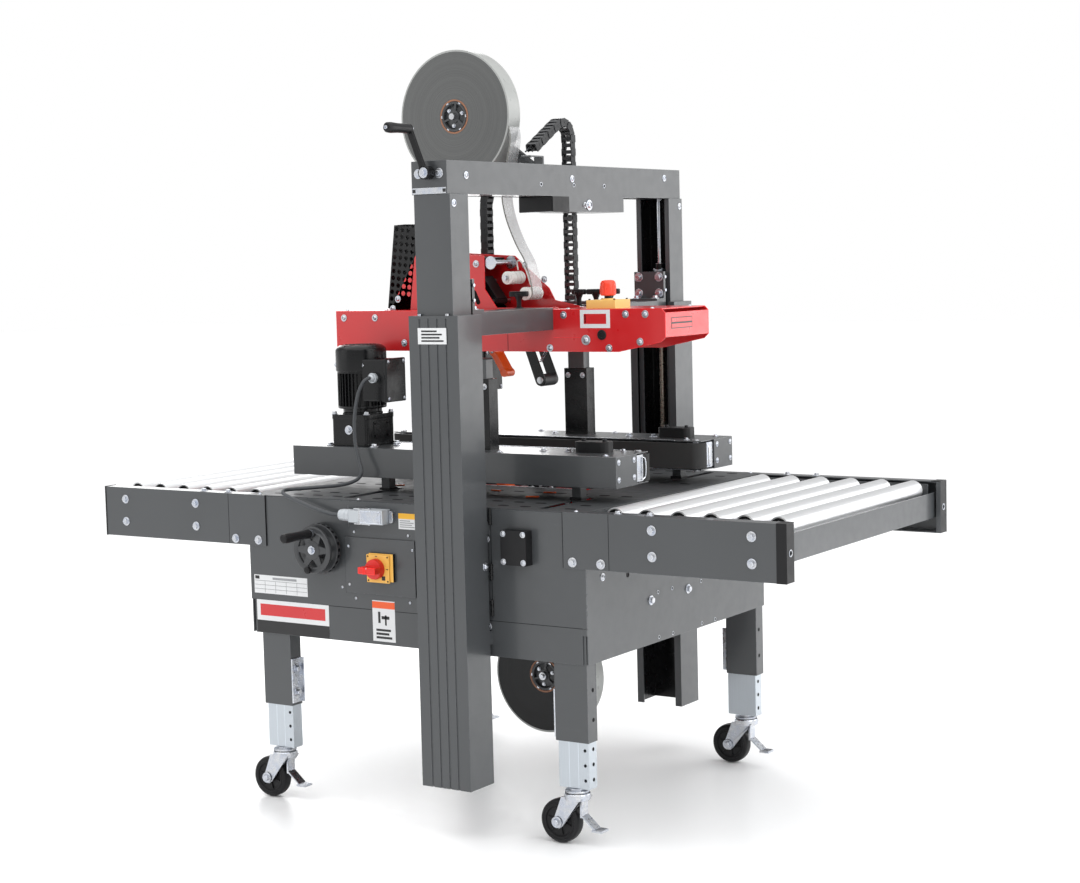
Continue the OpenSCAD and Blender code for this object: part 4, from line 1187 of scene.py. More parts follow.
@dataclass
class Conveyor:
    """One roller conveyor: its rails, axles and six rollers."""

    name: str
    sign: int
    count: int = 6
    first: float = 0.52
    pitch: float = 0.08
    z: float = 0.733
    radius: float = 0.024
    half: float = 0.36
    rail: float = 0.433

    def build(self) -> None:
        """Makes the conveyor."""
        caps = above(BLACK_PLASTIC, Axis.X, 0.9622)
        dress(f"{self.name}_rails", f"{self.name}_frame", PAINT, FRAME, "body_paint", [caps])
        for number in range(self.count):
            self.roller(number + 1, self.sign * (self.first + number * self.pitch))
        self.bolts()
        self.trim()

    def roller(self, number: int, x: float) -> None:
        """Makes one roller: a plated tube with a bearing in each end.

        Args:
            number: Its place, from 1.
            x: Where its axle runs.
        """
        node = f"{self.name}_roller_{number}"
        shape = Shape(f"{node}_tube")
        r, h = self.radius, self.half
        near = [
            (0.0062, -h + 0.002), (0.0098, -h + 0.002), (
                0.0102, -h + 0.0004,
            ), (0.0138, -h + 0.0004), (0.0142, -h + 0.0045),
            (0.0198, -h + 0.0045), (0.0204, -h + 0.0006), (0.0226, -h), (0.0237, -h + 0.0004), (r, -h + 0.0016),
        ]
        profile = near + [(a, -b) for a, b in reversed(near)]
        last = len(profile) - 1
        kinds = {0: STEEL, 1: BLACK_PLASTIC, 2: STEEL, 3: ZINC, 4: BLACK_PLASTIC, 5: BLACK_PLASTIC}
        shape.lathe(
            ROLLER_TUBE, profile, (x, 0.0, self.z), (0, 1, 0), 44, closed=True,
            finish_at=lambda i: kinds.get(min(i, last - 1 - i) if i < last else 0, ROLLER_TUBE),
        )
        shape.build(node, "roller_tube", [node], smooth=40.0)

    def bolts(self) -> None:
        """Puts in the rails' bolts."""
        screws = Fasteners(f"{self.name}_rail_bolts")
        for side in (-1, 1):
            out = (0.0, float(side), 0.0)
            y = side * self.rail
            for x in (0.654, 0.893):
                screws.grid((self.sign * x, y, (0.722, 0.665)), out, 0.0072)
            for x in (0.452, 0.525):
                screws.screw((self.sign * x, y, 0.641), out, 0.0072)
            for x in (0.56, 0.64):
                screws.screw((self.sign * x, side * 0.4155, 0.752), (0, 0, 1), 0.006)
        screws.build(FRAME, "zinc", smooth=40.0)

    def trim(self) -> None:
        """Draws the joint between rail and tab, and closes the rail's open end."""
        shape = Shape(f"{self.name}_trim")
        for side in (-1, 1):
            y = side * self.rail
            shape.box(HOLE, (self.sign * 0.545, y, 0.628), (self.sign * 0.5462, y + side * 0.0002, 0.7512), 0.0)
            shape.box(HOLE, (self.sign * 0.427, side * 0.43, 0.628), (self.sign * 0.4282, side * 0.4332, 0.7512), 0.0)
            if self.sign > 0:
                place = (0.974, side * 0.4155, 0.6895)
                shape.lathe(
                    ZINC, [(0.0078, 0.0), (0.0078, 0.0006), (0.0062, 0.0009), (0.0058, 0.0002)], place, (1, 0, 0),
                    24,
                )
                shape.lathe(
                    ZINC,
                    [(0.0, 0.0), (0.0046, 0.0), (0.0046, 0.004), (0.0026, 0.0045), (0.0024, 0.002), (0.0, 0.002)],
                    (0.966, side * 0.4155, 0.6895), (1, 0, 0), 16,
                )
                shape.box(BLACK_PLASTIC, (0.95, side * 0.4326, 0.6265), (0.9745, side * 0.4345, 0.753), 0.0009)
                shape.box(BLACK_PLASTIC, (0.95, side * 0.3975, 0.7512), (0.9745, side * 0.4345, 0.753), 0.0008)
            else:
                shape.box(BLACK_PLASTIC, (-0.9645, side * 0.397, 0.6265), (-0.9605, side * 0.434, 0.6305), 0.0008)
                shape.box(BLACK_PLASTIC, (-0.9645, side * 0.397, 0.7485), (-0.9605, side * 0.434, 0.753), 0.0008)
                shape.box(BLACK_PLASTIC, (-0.9645, side * 0.4295, 0.6265), (-0.9605, side * 0.434, 0.753), 0.0008)
        shape.build(FRAME, "black_plastic")


@dataclass
class Axles:
    """The rollers' fixed axles, with a nut on each end."""

    reach: float = 0.39

    def build(self) -> None:
        """Makes the axles."""
        dress("axle_rods", "roller_axles", STEEL, FRAME, "steel", bevel=0.0006)
        nuts = Fasteners("axle_nuts")
        for sign in (-1, 1):
            for number in range(Conveyor.count):
                x = sign * (Conveyor.first + number * Conveyor.pitch)
                for side in (-1, 1):
                    nuts.lathe(
                        WHITE_PLASTIC, [(0.0064, 0.0), (0.011, 0.0), (0.0106, 0.018), (0.0064, 0.02)],
                        (x, side * 0.3625, Conveyor.z), (0, side, 0), 18,
                    )
                    nuts.lathe(
                        ZINC, disc(0.0052, 0.0012, rim=0.0046), (x, side * self.reach, Conveyor.z), (0, side, 0),
                        14,
                    )
        nuts.build(FRAME, "steel", smooth=40.0)


# ---------------------------------------------------------------- legs and casters


@dataclass
class Legs:
    """The four sliding legs, with their clamp plates and set holes."""

    places: tuple[float, float] = (-0.412, 0.436)
    y: float = 0.409

    def build(self) -> None:
        """Makes the legs."""
        dress("leg_tubes", "inner_legs", LEG_ALUMINIUM, FRAME, "leg_aluminium")
        plates = Shape("leg_clamps")
        screws = Fasteners("leg_clamp_bolts")
        covers = Shape("leg_sleeve_covers")
        for x in self.places:
            inward = 1 if x < 0 else -1
            for side in (-1, 1):
                face = x + inward * 0.043
                plates.box(ZINC, (face, side * 0.391, 0.243), (face + inward * 0.0035, side * 0.4265, 0.352), 0.0008)
                plates.box(ZINC, (face, side * 0.391, 0.243), (face + inward * 0.012, side * 0.394, 0.352), 0.0008)
                covers.box(
                    LEG_ALUMINIUM, (x - 0.0395, side * 0.3898, 0.131), (x + 0.0395, side * 0.388, 0.236), 0.0008,
                )
                covers.box(PAINT, (x - 0.043, side * 0.3898, 0.236), (x + 0.043, side * 0.388, 0.47), 0.0008)
                screws.grid((face + inward * 0.0035, side * self.y, (0.268, 0.327)), (inward, 0, 0), 0.0075)
                outer = x - inward * 0.0431
                for z in (0.353, 0.286):
                    plates.lathe(HOLE, dot(0.0048, 0.0002), (outer, side * 0.404, z), (-inward, 0, 0), 18)
                bare = x - inward * 0.0396
                for z in (0.219, 0.1845, 0.15):
                    plates.lathe(HOLE, dot(0.0045, 0.0002), (bare, side * 0.402, z), (-inward, 0, 0), 18)
                # two thin lines of the lighter edge finish down the bare leg: wear and a painted highlight
                for step in (-0.012, 0.012):
                    plates.box(
                        LEG_ALUMINIUM.worn_and_highlighted(), (x + step - 0.0006, side * 0.4212, 0.131),
                        (x + step + 0.0006, side * 0.4209, 0.2355), 0.0,
                    )
        plates.build(FRAME, "zinc", smooth=40.0)
        screws.build(FRAME, "zinc", smooth=40.0)
        covers.build(FRAME, "body_paint")


@dataclass
class Caster:
    """One caster: its fork with the brake pedal, and its wheel."""

    key: str
    x: float
    side: int
    trail: float = 0.042
    y: float = 0.409
    radius: float = 0.05
    width: float = 0.032

    def build(self) -> None:
        """Makes the caster."""
        fork, wheel = f"caster_fork_{self.key}", f"caster_wheel_{self.key}"
        dress(f"{fork}_plates", fork, ZINC, fork, "zinc", bevel=0.0007)
        self.fittings(fork)
        self.tyre(wheel)

    def fittings(self, fork: str) -> None:
        """Adds the swivel's ball race, the axle's nuts and the pedal's ribs.

        Args:
            fork: The fork's body.
        """
        shape = Fasteners(f"{fork}_fittings")
        middle_y = self.side * self.y
        shape.ring(CHROME, (self.x, middle_y, 0.1162), (0, 0, 1), 0.0272, 0.0026, 40)
        shape.ring(ZINC, (self.x, middle_y, 0.1235), (0, 0, 1), 0.0262, 0.0018, 40)
        shape.lathe(
            HOLE, [(0.0275, 0.0), (0.0279, 0.0007), (0.0275, 0.0014)], (self.x, middle_y, 0.1192), (0, 0, 1), 40,
        )
        axle = self.x - self.trail
        for out in (-1, 1):
            place = (axle, middle_y + out * 0.0238, self.radius)
            shape.screw(place, (0, out, 0), 0.0085)
        low, high = self.x + 0.046, self.x + 0.069
        for k in range(5):
            y = middle_y - 0.011 + k * 0.0055
            shape.box(STEEL, (low, y - 0.0009, 0.0408), (high, y + 0.0009, 0.0422), 0.0004)
        shape.build(fork, "zinc", smooth=40.0)

    def tyre(self, wheel: str) -> None:
        """Makes the wheel, with a crowned tread and recessed sides.

        Args:
            wheel: The wheel's body and node.
        """
        shape = Shape(f"{wheel}_tyre")
        r, h = self.radius, self.width / 2
        half = [
            (0.0062, h), (0.0095, h), (0.01, h - 0.0006), (0.013, h - 0.0008), (
                0.0138, h - 0.0055,
            ), (0.03, h - 0.006),
            (
                0.0336, h - 0.0045,
            ), (0.035, h - 0.001), (0.0368, h), (0.04, h - 0.0003), (0.0405, h - 0.0012), (0.0412, h - 0.0004),
            (0.0462, h - 0.0018), (0.0486, h - 0.0048), (0.0497, h - 0.009), (r, 0.0),
        ]
        profile = half + [(a, -b) for a, b in reversed(half[:-1])]
        last = len(profile) - 1
        kinds = {0: STEEL, 1: STEEL, 2: ZINC}
        shape.lathe(
            RUBBER, profile, (self.x - self.trail, self.side * self.y, r), (0, 1, 0), 56, closed=True,
            finish_at=lambda i: kinds.get(
                min(i, last - 1 - i) if i < last else 0,
                BLACK_PLASTIC if 3 <= min(i, last - 1 - i) <= 6 else RUBBER,
            ),
        )
        for k in range(6):
            turn = turned((self.x - self.trail, self.side * self.y, r), 60 * k + 15, "Y")
            for face in (-1, 1):
                place = turn @ Matrix.Translation((0.014, face * (h - 0.0058), 0.0))
                flat = place @ upright(face)
                shape.prism(
                    BLACK_PLASTIC, [(0.0, -0.0012), (0.0168, -0.0009), (0.0168, 0.0009), (0.0, 0.0012)], flat,
                    0.003, 0.0,
                )
        shape.build(wheel, "wheel_tread", [wheel], smooth=40.0)


# ---------------------------------------------------------------- mast


@dataclass
class Mast:
    """The telescopic columns, the crossbeam, the lead screws and the crank."""

    x: float = 0.164
    screw_y: float = 0.488

    def build(self) -> None:
        """Makes the mast."""
        # painted shade: the faces inside the hollow outer columns take black enamel, standing for the shade inside them
        cavity_shade = [
            Zone(BLACK_PAINT, (0.1009, s * 0.485 - 0.0425, 0.1), (0.2271, s * 0.485 + 0.0425, 1.18))
            for s in (-1, 1)
        ]
        dress("column_profiles", "outer_columns", PAINT, FRAME, "body_paint", cavity_shade, 0.0004)
        # painted shade: the same for the faces inside the inner columns' bores
        bore_shade = [
            Zone(BLACK_PAINT, (0.1189, s * 0.487 - 0.0315, 0.29), (0.2091, s * 0.487 + 0.0315, 1.452))
            for s in (-1, 1)
        ]
        dress("column_inners", "inner_columns", PAINT, FRAME, "body_paint", bore_shade, 0.0012)
        dress("beam_cover", "crossbeam", PAINT, FRAME, "body_paint", self.beam_zones(), 0.0012)
        self.bolts()
        self.trim()
        for name, side in (("front", -1), ("rear", 1)):
            self.lead_screw(name, side)
        self.crank()

    @staticmethod
    def beam_zones() -> list[Zone]:
        """The crossbeam node's parts with other finishes."""
        return [
            Zone(STEEL, (-0.135, -0.04, 1.65), (-0.108, 0.0335, 1.675)),
            Zone(BLACK_PAINT, (0.113, -0.096, 1.418), (0.205, 0.23, 1.4539)),
        ]

    def bolts(self) -> None:
        """Puts in the beam's and columns' screws."""
        screws = Fasteners("mast_screws")
        face = (1.0, 0.0, 0.0)
        for y, z in ((-0.449, 1.496), (-0.007, 1.496), (0.441, 1.506)):
            screws.screw((0.207, y, z), face, 0.0056, Screw.BUTTON)
            screws.screw((0.111, y, z), (-1, 0, 0), 0.0056, Screw.BUTTON)
        for y in (-0.144, 0.001, 0.141):
            place = (0.207, y, 1.481)
            screws.lathe(ZINC, [(0.005, 0.0), (0.005, 0.0006), (0.0038, 0.0006), (0.0038, 0.0001)], place, face, 18)
            screws.lathe(HOLE, [(0.0038, 0.0002), (0.0, 0.0002)], place, face, 18)
        screws.screw((0.207, 0.068, 1.434), face, 0.0085, Screw.BUTTON)
        screws.screw((0.207, 0.05, 1.434), face, 0.0045, Screw.SOCKET)
        for x in (0.13, 0.187):
            screws.screw((x, -0.523, 1.5), (0, -1, 0), 0.007)
            screws.screw((x, 0.523, 1.5), (0, 1, 0), 0.007)
        for side in (-1, 1):
            screws.grid((0.213, side * 0.508, (1.434, 0.56)), face, 0.0056, Screw.BUTTON)
            screws.grid(((0.125, 0.2), side * 0.5268, 1.187), (0, 0, 1), 0.0042, Screw.SOCKET, washer=0.0)
            screws.screw((0.231, side * 0.45, 0.62), face, 0.0065, Screw.BUTTON)
        screws.build(FRAME, "zinc", smooth=40.0)

    def trim(self) -> None:
        """Adds the level strip, the column's label, the bracket plates and the beam's dark insert."""
        shape = Shape("mast_trim")
        shape.box(ZINC, (0.113, -0.5242, 1.4555), (0.205, -0.5228, 1.469), 0.0004)
        for low, high in ((0.114, 0.122), (0.196, 0.204)):
            shape.box(DARK_LABEL, (low, -0.5248, 1.4585), (high, -0.524, 1.466), 0.0003)
        label = Label((0.1605, -0.5309, 1.1425), (0.078, 0.036))
        label.add(shape, lines(DARK_LABEL, (-0.75, -0.8), (0.8, 0.8), 4, 0.5))
        shape.box(BLACK_PLASTIC, (0.2066, -0.0966, 1.4166), (0.2086, -0.024, 1.4535), 0.0006)
        shape.box(BLACK_PLASTIC, (0.113, -0.0985, 1.4185), (0.206, -0.0955, 1.453), 0.0008)
        for side in (-1, 1):
            for x in (-0.0485, 0.0485):
                wall = sorted((side * 0.5265, side * 0.4515))
                edge = self.x + x
                shape.box(
                    HOLE, (edge - 0.0004, wall[0] + 0.004, 1.1869), (edge + 0.0004, wall[1] - 0.004, 1.1874), 0.0,
                )
            shape.box(
                WHITE_PLASTIC, (self.x - 0.0475, side * 0.4535, 1.1868), (self.x - 0.04, side * 0.459, 1.1885),
                0.0005,
            )
            shape.box(
                WHITE_PLASTIC, (self.x + 0.04, side * 0.4535, 1.1868), (self.x + 0.0475, side * 0.459, 1.1885),
                0.0005,
            )
        shape.build(FRAME, "body_paint")

    def lead_screw(self, name: str, side: int) -> None:
        """Makes one lead screw: polished above, threaded where its nut runs.

        Args:
            name: The side's name.
            side: -1 in front, 1 at the rear.
        """
        node = f"{name}_screw"
        shape = Shape(f"{node}_thread")
        place = (self.x, side * self.screw_y, 0.0)
        crest, root, pitch = 0.0099, 0.0083, 0.005
        z = 0.312
        shape.lathe(STEEL, disc(crest, z, 0.309), place, (0, 0, 1), 20)
        thread = [(0.0, z)]
        while z < 1.095:
            thread += [
                (root, z + 0.0002), (root, z + pitch * 0.3), (crest, z + pitch * 0.55), (crest, z + pitch * 0.75),
            ]
            z += pitch
        shape.lathe(SCREW_STEEL, thread + [(0.0, z)], place, (0, 0, 1), 18)
        shape.lathe(
            CHROME, [(0.0, z), (root, z), (root, 1.44), (0.0075, 1.444), (0.0075, 1.466), (0.0, 1.466)], place,
            (0, 0, 1), 28,
        )
        shape.lathe(
            BLACK_PAINT, [(0.0, 1.462), (0.014, 1.462), (0.024, 1.467), (0.024, 1.475), (0.0, 1.475)], place,
            (0, 0, 1), 32,
        )
        shape.build(node, "steel", [node], smooth=35.0)

    def crank(self) -> None:
        """Dresses the crank, with its hub screw and turned grip."""
        keep = [below(BLACK_PAINT, Axis.Z, 1.588)]
        dress("crank_lever", "crank", BLACK_PLASTIC, "crank", "black_metal", keep, 0.0012)
        screws = Fasteners("crank_fittings")
        screws.screw((0.162, -0.547, 1.501), (0, -1, 0), 0.0075)
        grip = (0.123, -0.54, 1.599)
        screws.lathe(
            BLACK_PLASTIC,
            [
                (0.0, 0.084), (0.0085, 0.0838), (0.0112, 0.081), (0.012, 0.07), (0.0108, 0.05), (0.0104, 0.03),
                (0.0112, 0.012), (0.01, 0.004), (0.0, 0.004),
            ],
            grip, (0, -1, 0), 28,
        )
        screws.screw((0.123, -0.6238, 1.599), (0, -1, 0), 0.0042, Screw.SOCKET, washer=0.0)
        screws.lathe(ZINC, disc(0.0075, 0.004, rim=0.0068), (0.123, -0.5378, 1.599), (0, 1, 0), 20)
        screws.build("crank", "black_metal", smooth=40.0)


# ---------------------------------------------------------------- controls


@dataclass
class Controls:
    """The main switch, the width handwheel, the cord's connector and the junction cover."""

    front: float = -0.43
    wheel: tuple[float, float] = (-0.251, 0.633)
    knob: tuple[float, float] = (-0.082, 0.595)

    def build(self) -> None:
        """Makes the controls."""
        self.panel()
        self.connector()
        self.switch()
        self.handwheel()

    def panel(self) -> None:
        """Dresses the panel's parts by region."""
        zones = [
            Zone(SWITCH_YELLOW, (-0.1115, -0.4465, 0.5615), (-0.0445, -0.4419, 0.6285)),
            Zone(BLACK_PLASTIC, (-0.1075, -0.4425, 0.5645), (-0.0355, -0.4341, 0.6315)),
            Zone(BLACK_PLASTIC, (0.276, -0.4565, 0.627), (0.346, -0.429, 0.707)),
            Zone(PALE_METAL, (-0.1905, -0.464, 0.7), (-0.0475, -0.4295, 0.7355)),
        ]
        dress("switch_panel", "control_panel", PAINT, FRAME, "body_paint", zones, 0.001)
        screws = Fasteners("panel_screws")
        screws.grid(((0.2845, 0.3375), -0.456, (0.6355, 0.6985)), (0, -1, 0), 0.0045, Screw.BUTTON)
        screws.grid(
            ((-0.1065, -0.0495), -0.446, (0.5665, 0.6235)), (0, -1, 0), 0.0022, Screw.BUTTON, DARK_PIN,
            washer=0.0,
        )
        screws.build(FRAME, "zinc", smooth=40.0)
        marks = Shape("switch_marks")
        Label((-0.062, -0.4461, 0.5735), (0.01, 0.01), ground=DARK_LABEL, thick=0.0003).add(marks)
        for x, z in ((-0.082, 0.6245), (-0.0505, 0.595), (-0.1135, 0.595)):
            Label(
                (min(max(x, -0.108), -0.048), -0.4461, z), (0.006, 0.0018), ground=DARK_LABEL, thick=0.0003,
            ).add(marks)
        marks.build(FRAME, "black_plastic")

    def connector(self) -> None:
        """Adds the cast connector's hood, latch and strain relief."""
        shape = Fasteners("connector_hood")
        shape.box(ZINC, (-0.113, -0.464, 0.7035), (-0.053, -0.46, 0.7325), 0.0016)
        shape.box(STEEL, (-0.119, -0.4625, 0.6995), (-0.111, -0.432, 0.7365), 0.0018)
        for z in (0.699, 0.7345):
            shape.box(STEEL, (-0.135, -0.458, z), (-0.088, -0.45, z + 0.0025), 0.0008)
            shape.lathe(CHROME, disc(0.0035, 0.004), (-0.092, -0.454, z - 0.0008), (0, 0, 1), 16)
        shape.prism(
            ZINC, rounded_outline((-0.047, 0.704), (-0.035, 0.732), 0.005), upright(-1, 0, -0.43), 0.01, 0.0012,
        )
        relief = [
            (0.0, 0.034), (0.007, 0.034), (0.01, 0.031), (
                0.0112, 0.027,
            ), (0.0138, 0.026), (0.0142, 0.022), (0.0142, 0.014), (0.0138, 0.012),
            (0.0128, 0.0115), (0.0145, 0.01), (0.0145, 0.002), (0.0138, 0.0), (0.0, 0.0),
        ]
        shape.lathe(PALE_METAL, relief, (-0.15, -0.447, 0.718), (-1, 0, 0), 30)
        shape.grid((-0.058, -0.464, (0.7075, 0.7285)), (0, -1, 0), 0.0028, Screw.BUTTON, washer=0.0)
        shape.build(FRAME, "zinc", smooth=35.0)

    def switch(self) -> None:
        """Makes the main switch's red knob, with its waist and finger bar."""
        x, z = self.knob
        shape = Shape("switch_handle")
        skirt = [
            (0.0, -0.0004), (
                0.024, -0.0004,
            ), (0.0243, 0.002), (0.024, 0.01), (0.0228, 0.0135), (0.019, 0.0158), (0.0, 0.0162),
        ]
        shape.lathe(SWITCH_RED, skirt, (x, -0.4468, z), (0, -1, 0), 48)
        place = upright(-1, x, -0.462, z)
        bar = [
            (
                -0.025, -0.0062,
            ), (-0.0238, -0.008), (0.0238, -0.008), (0.025, -0.0062), (0.025, 0.0062), (0.0238, 0.008), (-0.0238, 0.008), (-0.025, 0.0062),
        ]
        shape.prism(SWITCH_RED, bar, place, 0.0235, 0.0016)
        shape.prism(
            PALE_LABEL, [(-0.0008, 0.0045), (0.0008, 0.0045), (0.0008, 0.0075), (-0.0008, 0.0075)],
            place @ Matrix.Translation((0, 0, 0.0234)), 0.0003, 0.0,
        )
        shape.lathe(STEEL, disc(0.005, 0.0285), (x, -0.4276, z), (0, -1, 0), 20)
        # three thin strips of the lighter edge finish across the finger bar: wear and a painted highlight
        for k in range(3):
            reach = 0.02 + 0.003 * k
            shape.box(
                SWITCH_RED.worn_and_highlighted(), (x - reach + 0.016, -0.486, z - 0.0083),
                (x - reach + 0.017, -0.466, z + 0.0083), 0.0,
            )
        shape.build("switch_knob", "red_paint", ["switch_knob"], smooth=35.0)

    def handwheel(self) -> None:
        """Makes the handwheel: a spoked face, a slotted drum, a grip and the width screw."""
        x, z = self.wheel
        toward = (0.0, -1.0, 0.0)
        shape = Fasteners("handwheel_rim")
        face = -0.468
        rim = [
            (0.042, 0.0), (0.0555, 0.0), (0.056, 0.001), (0.056, 0.0068), (0.0545, 0.008), (0.048, 0.0084),
            (0.0445, 0.0074), (0.042, 0.0062),
        ]
        shape.lathe(BLACK_HARD, rim, (x, face, z), toward, 64, closed=True)
        for k in range(6):
            turn = turned((x, face, z), 60 * k, "Y")
            flat = turn @ upright(-1)
            shape.prism(
                BLACK_HARD, [(0.018, -0.0105), (0.0435, -0.006), (0.0435, 0.006), (0.018, 0.0105)], flat, 0.0062,
                0.0008,
            )
        hub = [(0.0, 0.0), (0.024, 0.0), (0.024, 0.026), (0.0225, 0.029), (0.015, 0.03), (0.0, 0.03)]
        shape.lathe(BLACK_HARD, hub, (x, -0.446, z), toward, 48)
        shape.screw((x, -0.476, z), toward, 0.0068)
        drum = [
            (0.049, 0.0002), (0.0592, 0.0002), (0.06, 0.0012), (0.06, 0.0128), (0.059, 0.014), (0.0, 0.014),
            (0.0, 0.009), (0.049, 0.009),
        ]
        shape.lathe(BLACK_HARD, drum, (x, -0.44, z), toward, 72)
        for k in range(24):
            turn = turned((x, -0.447, z), 15 * k, "Y")
            at = turn @ Vector((0.0599, 0.0, 0.0))
            out = turn.to_3x3() @ Vector((1.0, 0.0, 0.0))
            shape.lathe(HOLE, dot(0.0042, 0.0003), at, out, 14)
        shape.lathe(
            STEEL, [(0.0, -0.4295), (0.008, -0.4295), (0.008, -0.4395), (0.0, -0.4395)][::-1], (x, 0.0, z),
            (0, 1, 0), 28,
        )
        shape.lathe(
            ZINC, [(0.0, -0.429), (0.0079, -0.429), (0.0079, 0.43), (0.0072, 0.4325), (0.0, 0.4325)], (x, 0.0, z),
            (0, 1, 0), 28,
        )
        grip = [
            (0.0, 0.104), (
                0.007, 0.1038,
            ), (0.0105, 0.101), (0.0118, 0.09), (0.0106, 0.064), (0.01, 0.04), (0.011, 0.018), (0.0112, 0.01),
            (0.0085, 0.006), (0.006, 0.005), (0.006, 0.0), (0.0, 0.0),
        ]
        shape.lathe(BLACK_PLASTIC, grip, (x, -0.476, z + 0.04), toward, 32)
        shape.lathe(ZINC, disc(0.009, 0.0045, rim=0.0085), (x, -0.4758, z + 0.04), toward, 24)
        ball = [
            (0.0, 0.016), (0.005, 0.0155), (0.0082, 0.0125), (0.009, 0.0085), (0.008, 0.0045), (0.005, 0.002),
            (0.0045, 0.0), (0.0, 0.0),
        ]
        shape.lathe(BLACK_PLASTIC, ball, (x - 0.007, -0.476, z - 0.047), toward, 24)
        shape.build("handwheel", "black_metal", ["handwheel"], smooth=35.0)


# ---------------------------------------------------------------- upper taping head


@dataclass
class UpperHead:
    """The cross arms, the red casing and the taping head's plates with what they carry."""

    casing_y: float = 0.105
    plate_y: float = 0.05
    top: float = 1.187
    near_plate: tuple[Point, ...] = (
        (-0.317, 1.11), (
            -0.317, 1.187,
        ), (-0.229, 1.331), (-0.026, 1.318), (-0.026, 1.236), (0.008, 1.19), (0.186, 1.19), (0.186, 1.11),
    )
    far_plate: tuple[Point, ...] = (
        (-0.317, 1.11), (
            -0.317, 1.187,
        ), (-0.229, 1.331), (0.0, 1.316), (0.099, 1.235), (0.116, 1.205), (0.186, 1.19), (0.186, 1.11),
    )
    rollers: tuple[Point, ...] = ((0.027, 1.262), (0.078, 1.223))

    def build(self) -> None:
        """Makes the upper head."""
        arms = [
            Zone(ZINC, (0.06, 0.14, 1.1972), (0.16, 0.2, 1.3)), Zone(
                BLACK_PAINT, (0.1, 0.4281, 1.1), (0.23, 0.53, 1.3),
            ),
            Zone(BLACK_PAINT, (0.1, -0.53, 1.1), (0.23, -0.4281, 1.3)),
        ]
        dress("arm_boxes", "cross_arms", PAINT, HEAD, "body_paint", arms, 0.001)
        dress(
            "casing_sheets", "head_casing", RED, HEAD, "red_paint",
            [above(BOX_YELLOW, Axis.Z, self.top + 0.0002)], 0.0014,
        )
        self.casing_bolts()
        self.carriage_bolts()
        self.tape_plates()
        self.guard()
        self.mechanism()
        self.knobs()
        self.stop_button()

    def casing_bolts(self) -> None:
        """Puts in the casing's screws, its plug and its plain labels."""
        screws = Fasteners("casing_screws")
        front = (
            (
                -0.425, 1.169,
            ), (-0.326, 1.169), (-0.236, 1.106), (0.236, 1.173), (0.196, 1.095), (0.36, 1.095), (0.406, 1.174), (0.459, 1.174), (0.444, 1.11),
        )
        for side in (-1, 1):
            screws.row(
                ((x, side * self.casing_y, z) for x, z in front), (0, side, 0), radius=0.0058, kind=Screw.BUTTON,
            )
            screws.screw((0.297, side * self.casing_y, 1.114), (0, side, 0), 0.0078, Screw.BUTTON)
        for x in (-0.425, -0.3, 0.24, 0.47):
            for side in (-1, 1):
                screws.screw((x, side * 0.09, self.top), (0, 0, 1), 0.005, Screw.BUTTON, washer=0.0)
        for dx in (-0.034, 0.034):
            for dy in (-0.029, 0.029):
                screws.screw(
                    (0.327 + dx, -0.05 + dy, self.top + 0.02), (0, 0, 1), 0.0026, Screw.SOCKET, DARK_PIN,
                    washer=0.0,
                )
        screws.build(HEAD, "zinc", smooth=40.0)
        trim = Shape("casing_trim")
        for side in (-1, 1):
            plug = [
                (0.0, 0.0), (0.012, 0.0), (0.012, 0.0016), (0.0105, 0.003), (0.0062, 0.003), (0.0058, 0.0012),
                (0.0, 0.0012),
            ]
            trim.lathe(BLACK_PLASTIC, plug, (0.341, side * self.casing_y, 1.126), (0, side, 0), 28)
        face = Label((0.323, -self.casing_y - 0.0001, 1.1635), (0.082, 0.043))
        face.add(trim, [(RED, (-0.75, -0.55), (0.75, 0.55)), (PALE_LABEL, (-0.7, -0.45), (-0.62, 0.45))])
        nose = Label((0.5119, -0.028, 1.152), (0.1, 0.026), (0.0, 1.0, 0.0), (1.0, 0.0, 0.0), DARK_LABEL)
        nose.add(trim, [(RED, (-0.96, -0.86), (0.96, -0.15)), (RED, (-0.96, 0.15), (0.96, 0.86))])
        # a thin strip of the lighter edge finish on the casing's front: wear and a painted highlight
        low, high = (0.207, -0.1056, 1.119), (0.284, -0.1049, 1.1204)
        trim.box(RED.worn_and_highlighted(), low, high, 0.0002)
        trim.box(HOLE, (0.075, -0.1053, 1.0865), (0.0762, -0.1049, 1.138), 0.0)
        trim.build(HEAD, "red_paint")

    def carriage_bolts(self) -> None:
        """Bolts the arms to their carriages, with the screws' nuts on top."""
        screws = Fasteners("carriage_bolts")
        for side in (-1, 1):
            screws.grid((0.207, side * 0.4335, (1.252, 1.218)), (1, 0, 0), 0.0045, washer=0.0)
            screws.grid(((0.133, 0.193), side * 0.428, (1.252, 1.21)), (0, -side, 0), 0.0078)
            screws.grid(((0.135, 0.191), side * 0.41, 1.197), (0, 0, 1), 0.007)
            flange = [
                (0.0104, 0.0), (0.02, 0.0), (0.02, 0.005), (0.015, 0.0058), (0.015, 0.0205), (0.014, 0.0215),
                (0.0104, 0.0215),
            ]
            screws.lathe(ZINC, flange, (Mast.x, side * Mast.screw_y, 1.2662), (0, 0, 1), 32, closed=True)
            for k in range(4):
                a = radians(45 + 90 * k)
                place = (Mast.x + 0.0175 * cos(a), side * Mast.screw_y + 0.0175 * sin(a), 1.2712)
                screws.screw(place, (0, 0, 1), 0.0026, Screw.SOCKET, washer=0.0)
            for x in (0.1235, 0.2035):
                for z in (1.128, 1.16, 1.216, 1.248):
                    screws.box(
                        WHITE_PLASTIC, (x - 0.003, side * 0.46, z), (x + 0.003, side * 0.512, z + 0.01), 0.0008,
                    )
        screws.grid(((0.078, 0.138), (0.157, 0.171), 1.199), (0, 0, 1), 0.004, Screw.BUTTON, washer=0.0)
        screws.build(HEAD, "zinc", smooth=40.0)

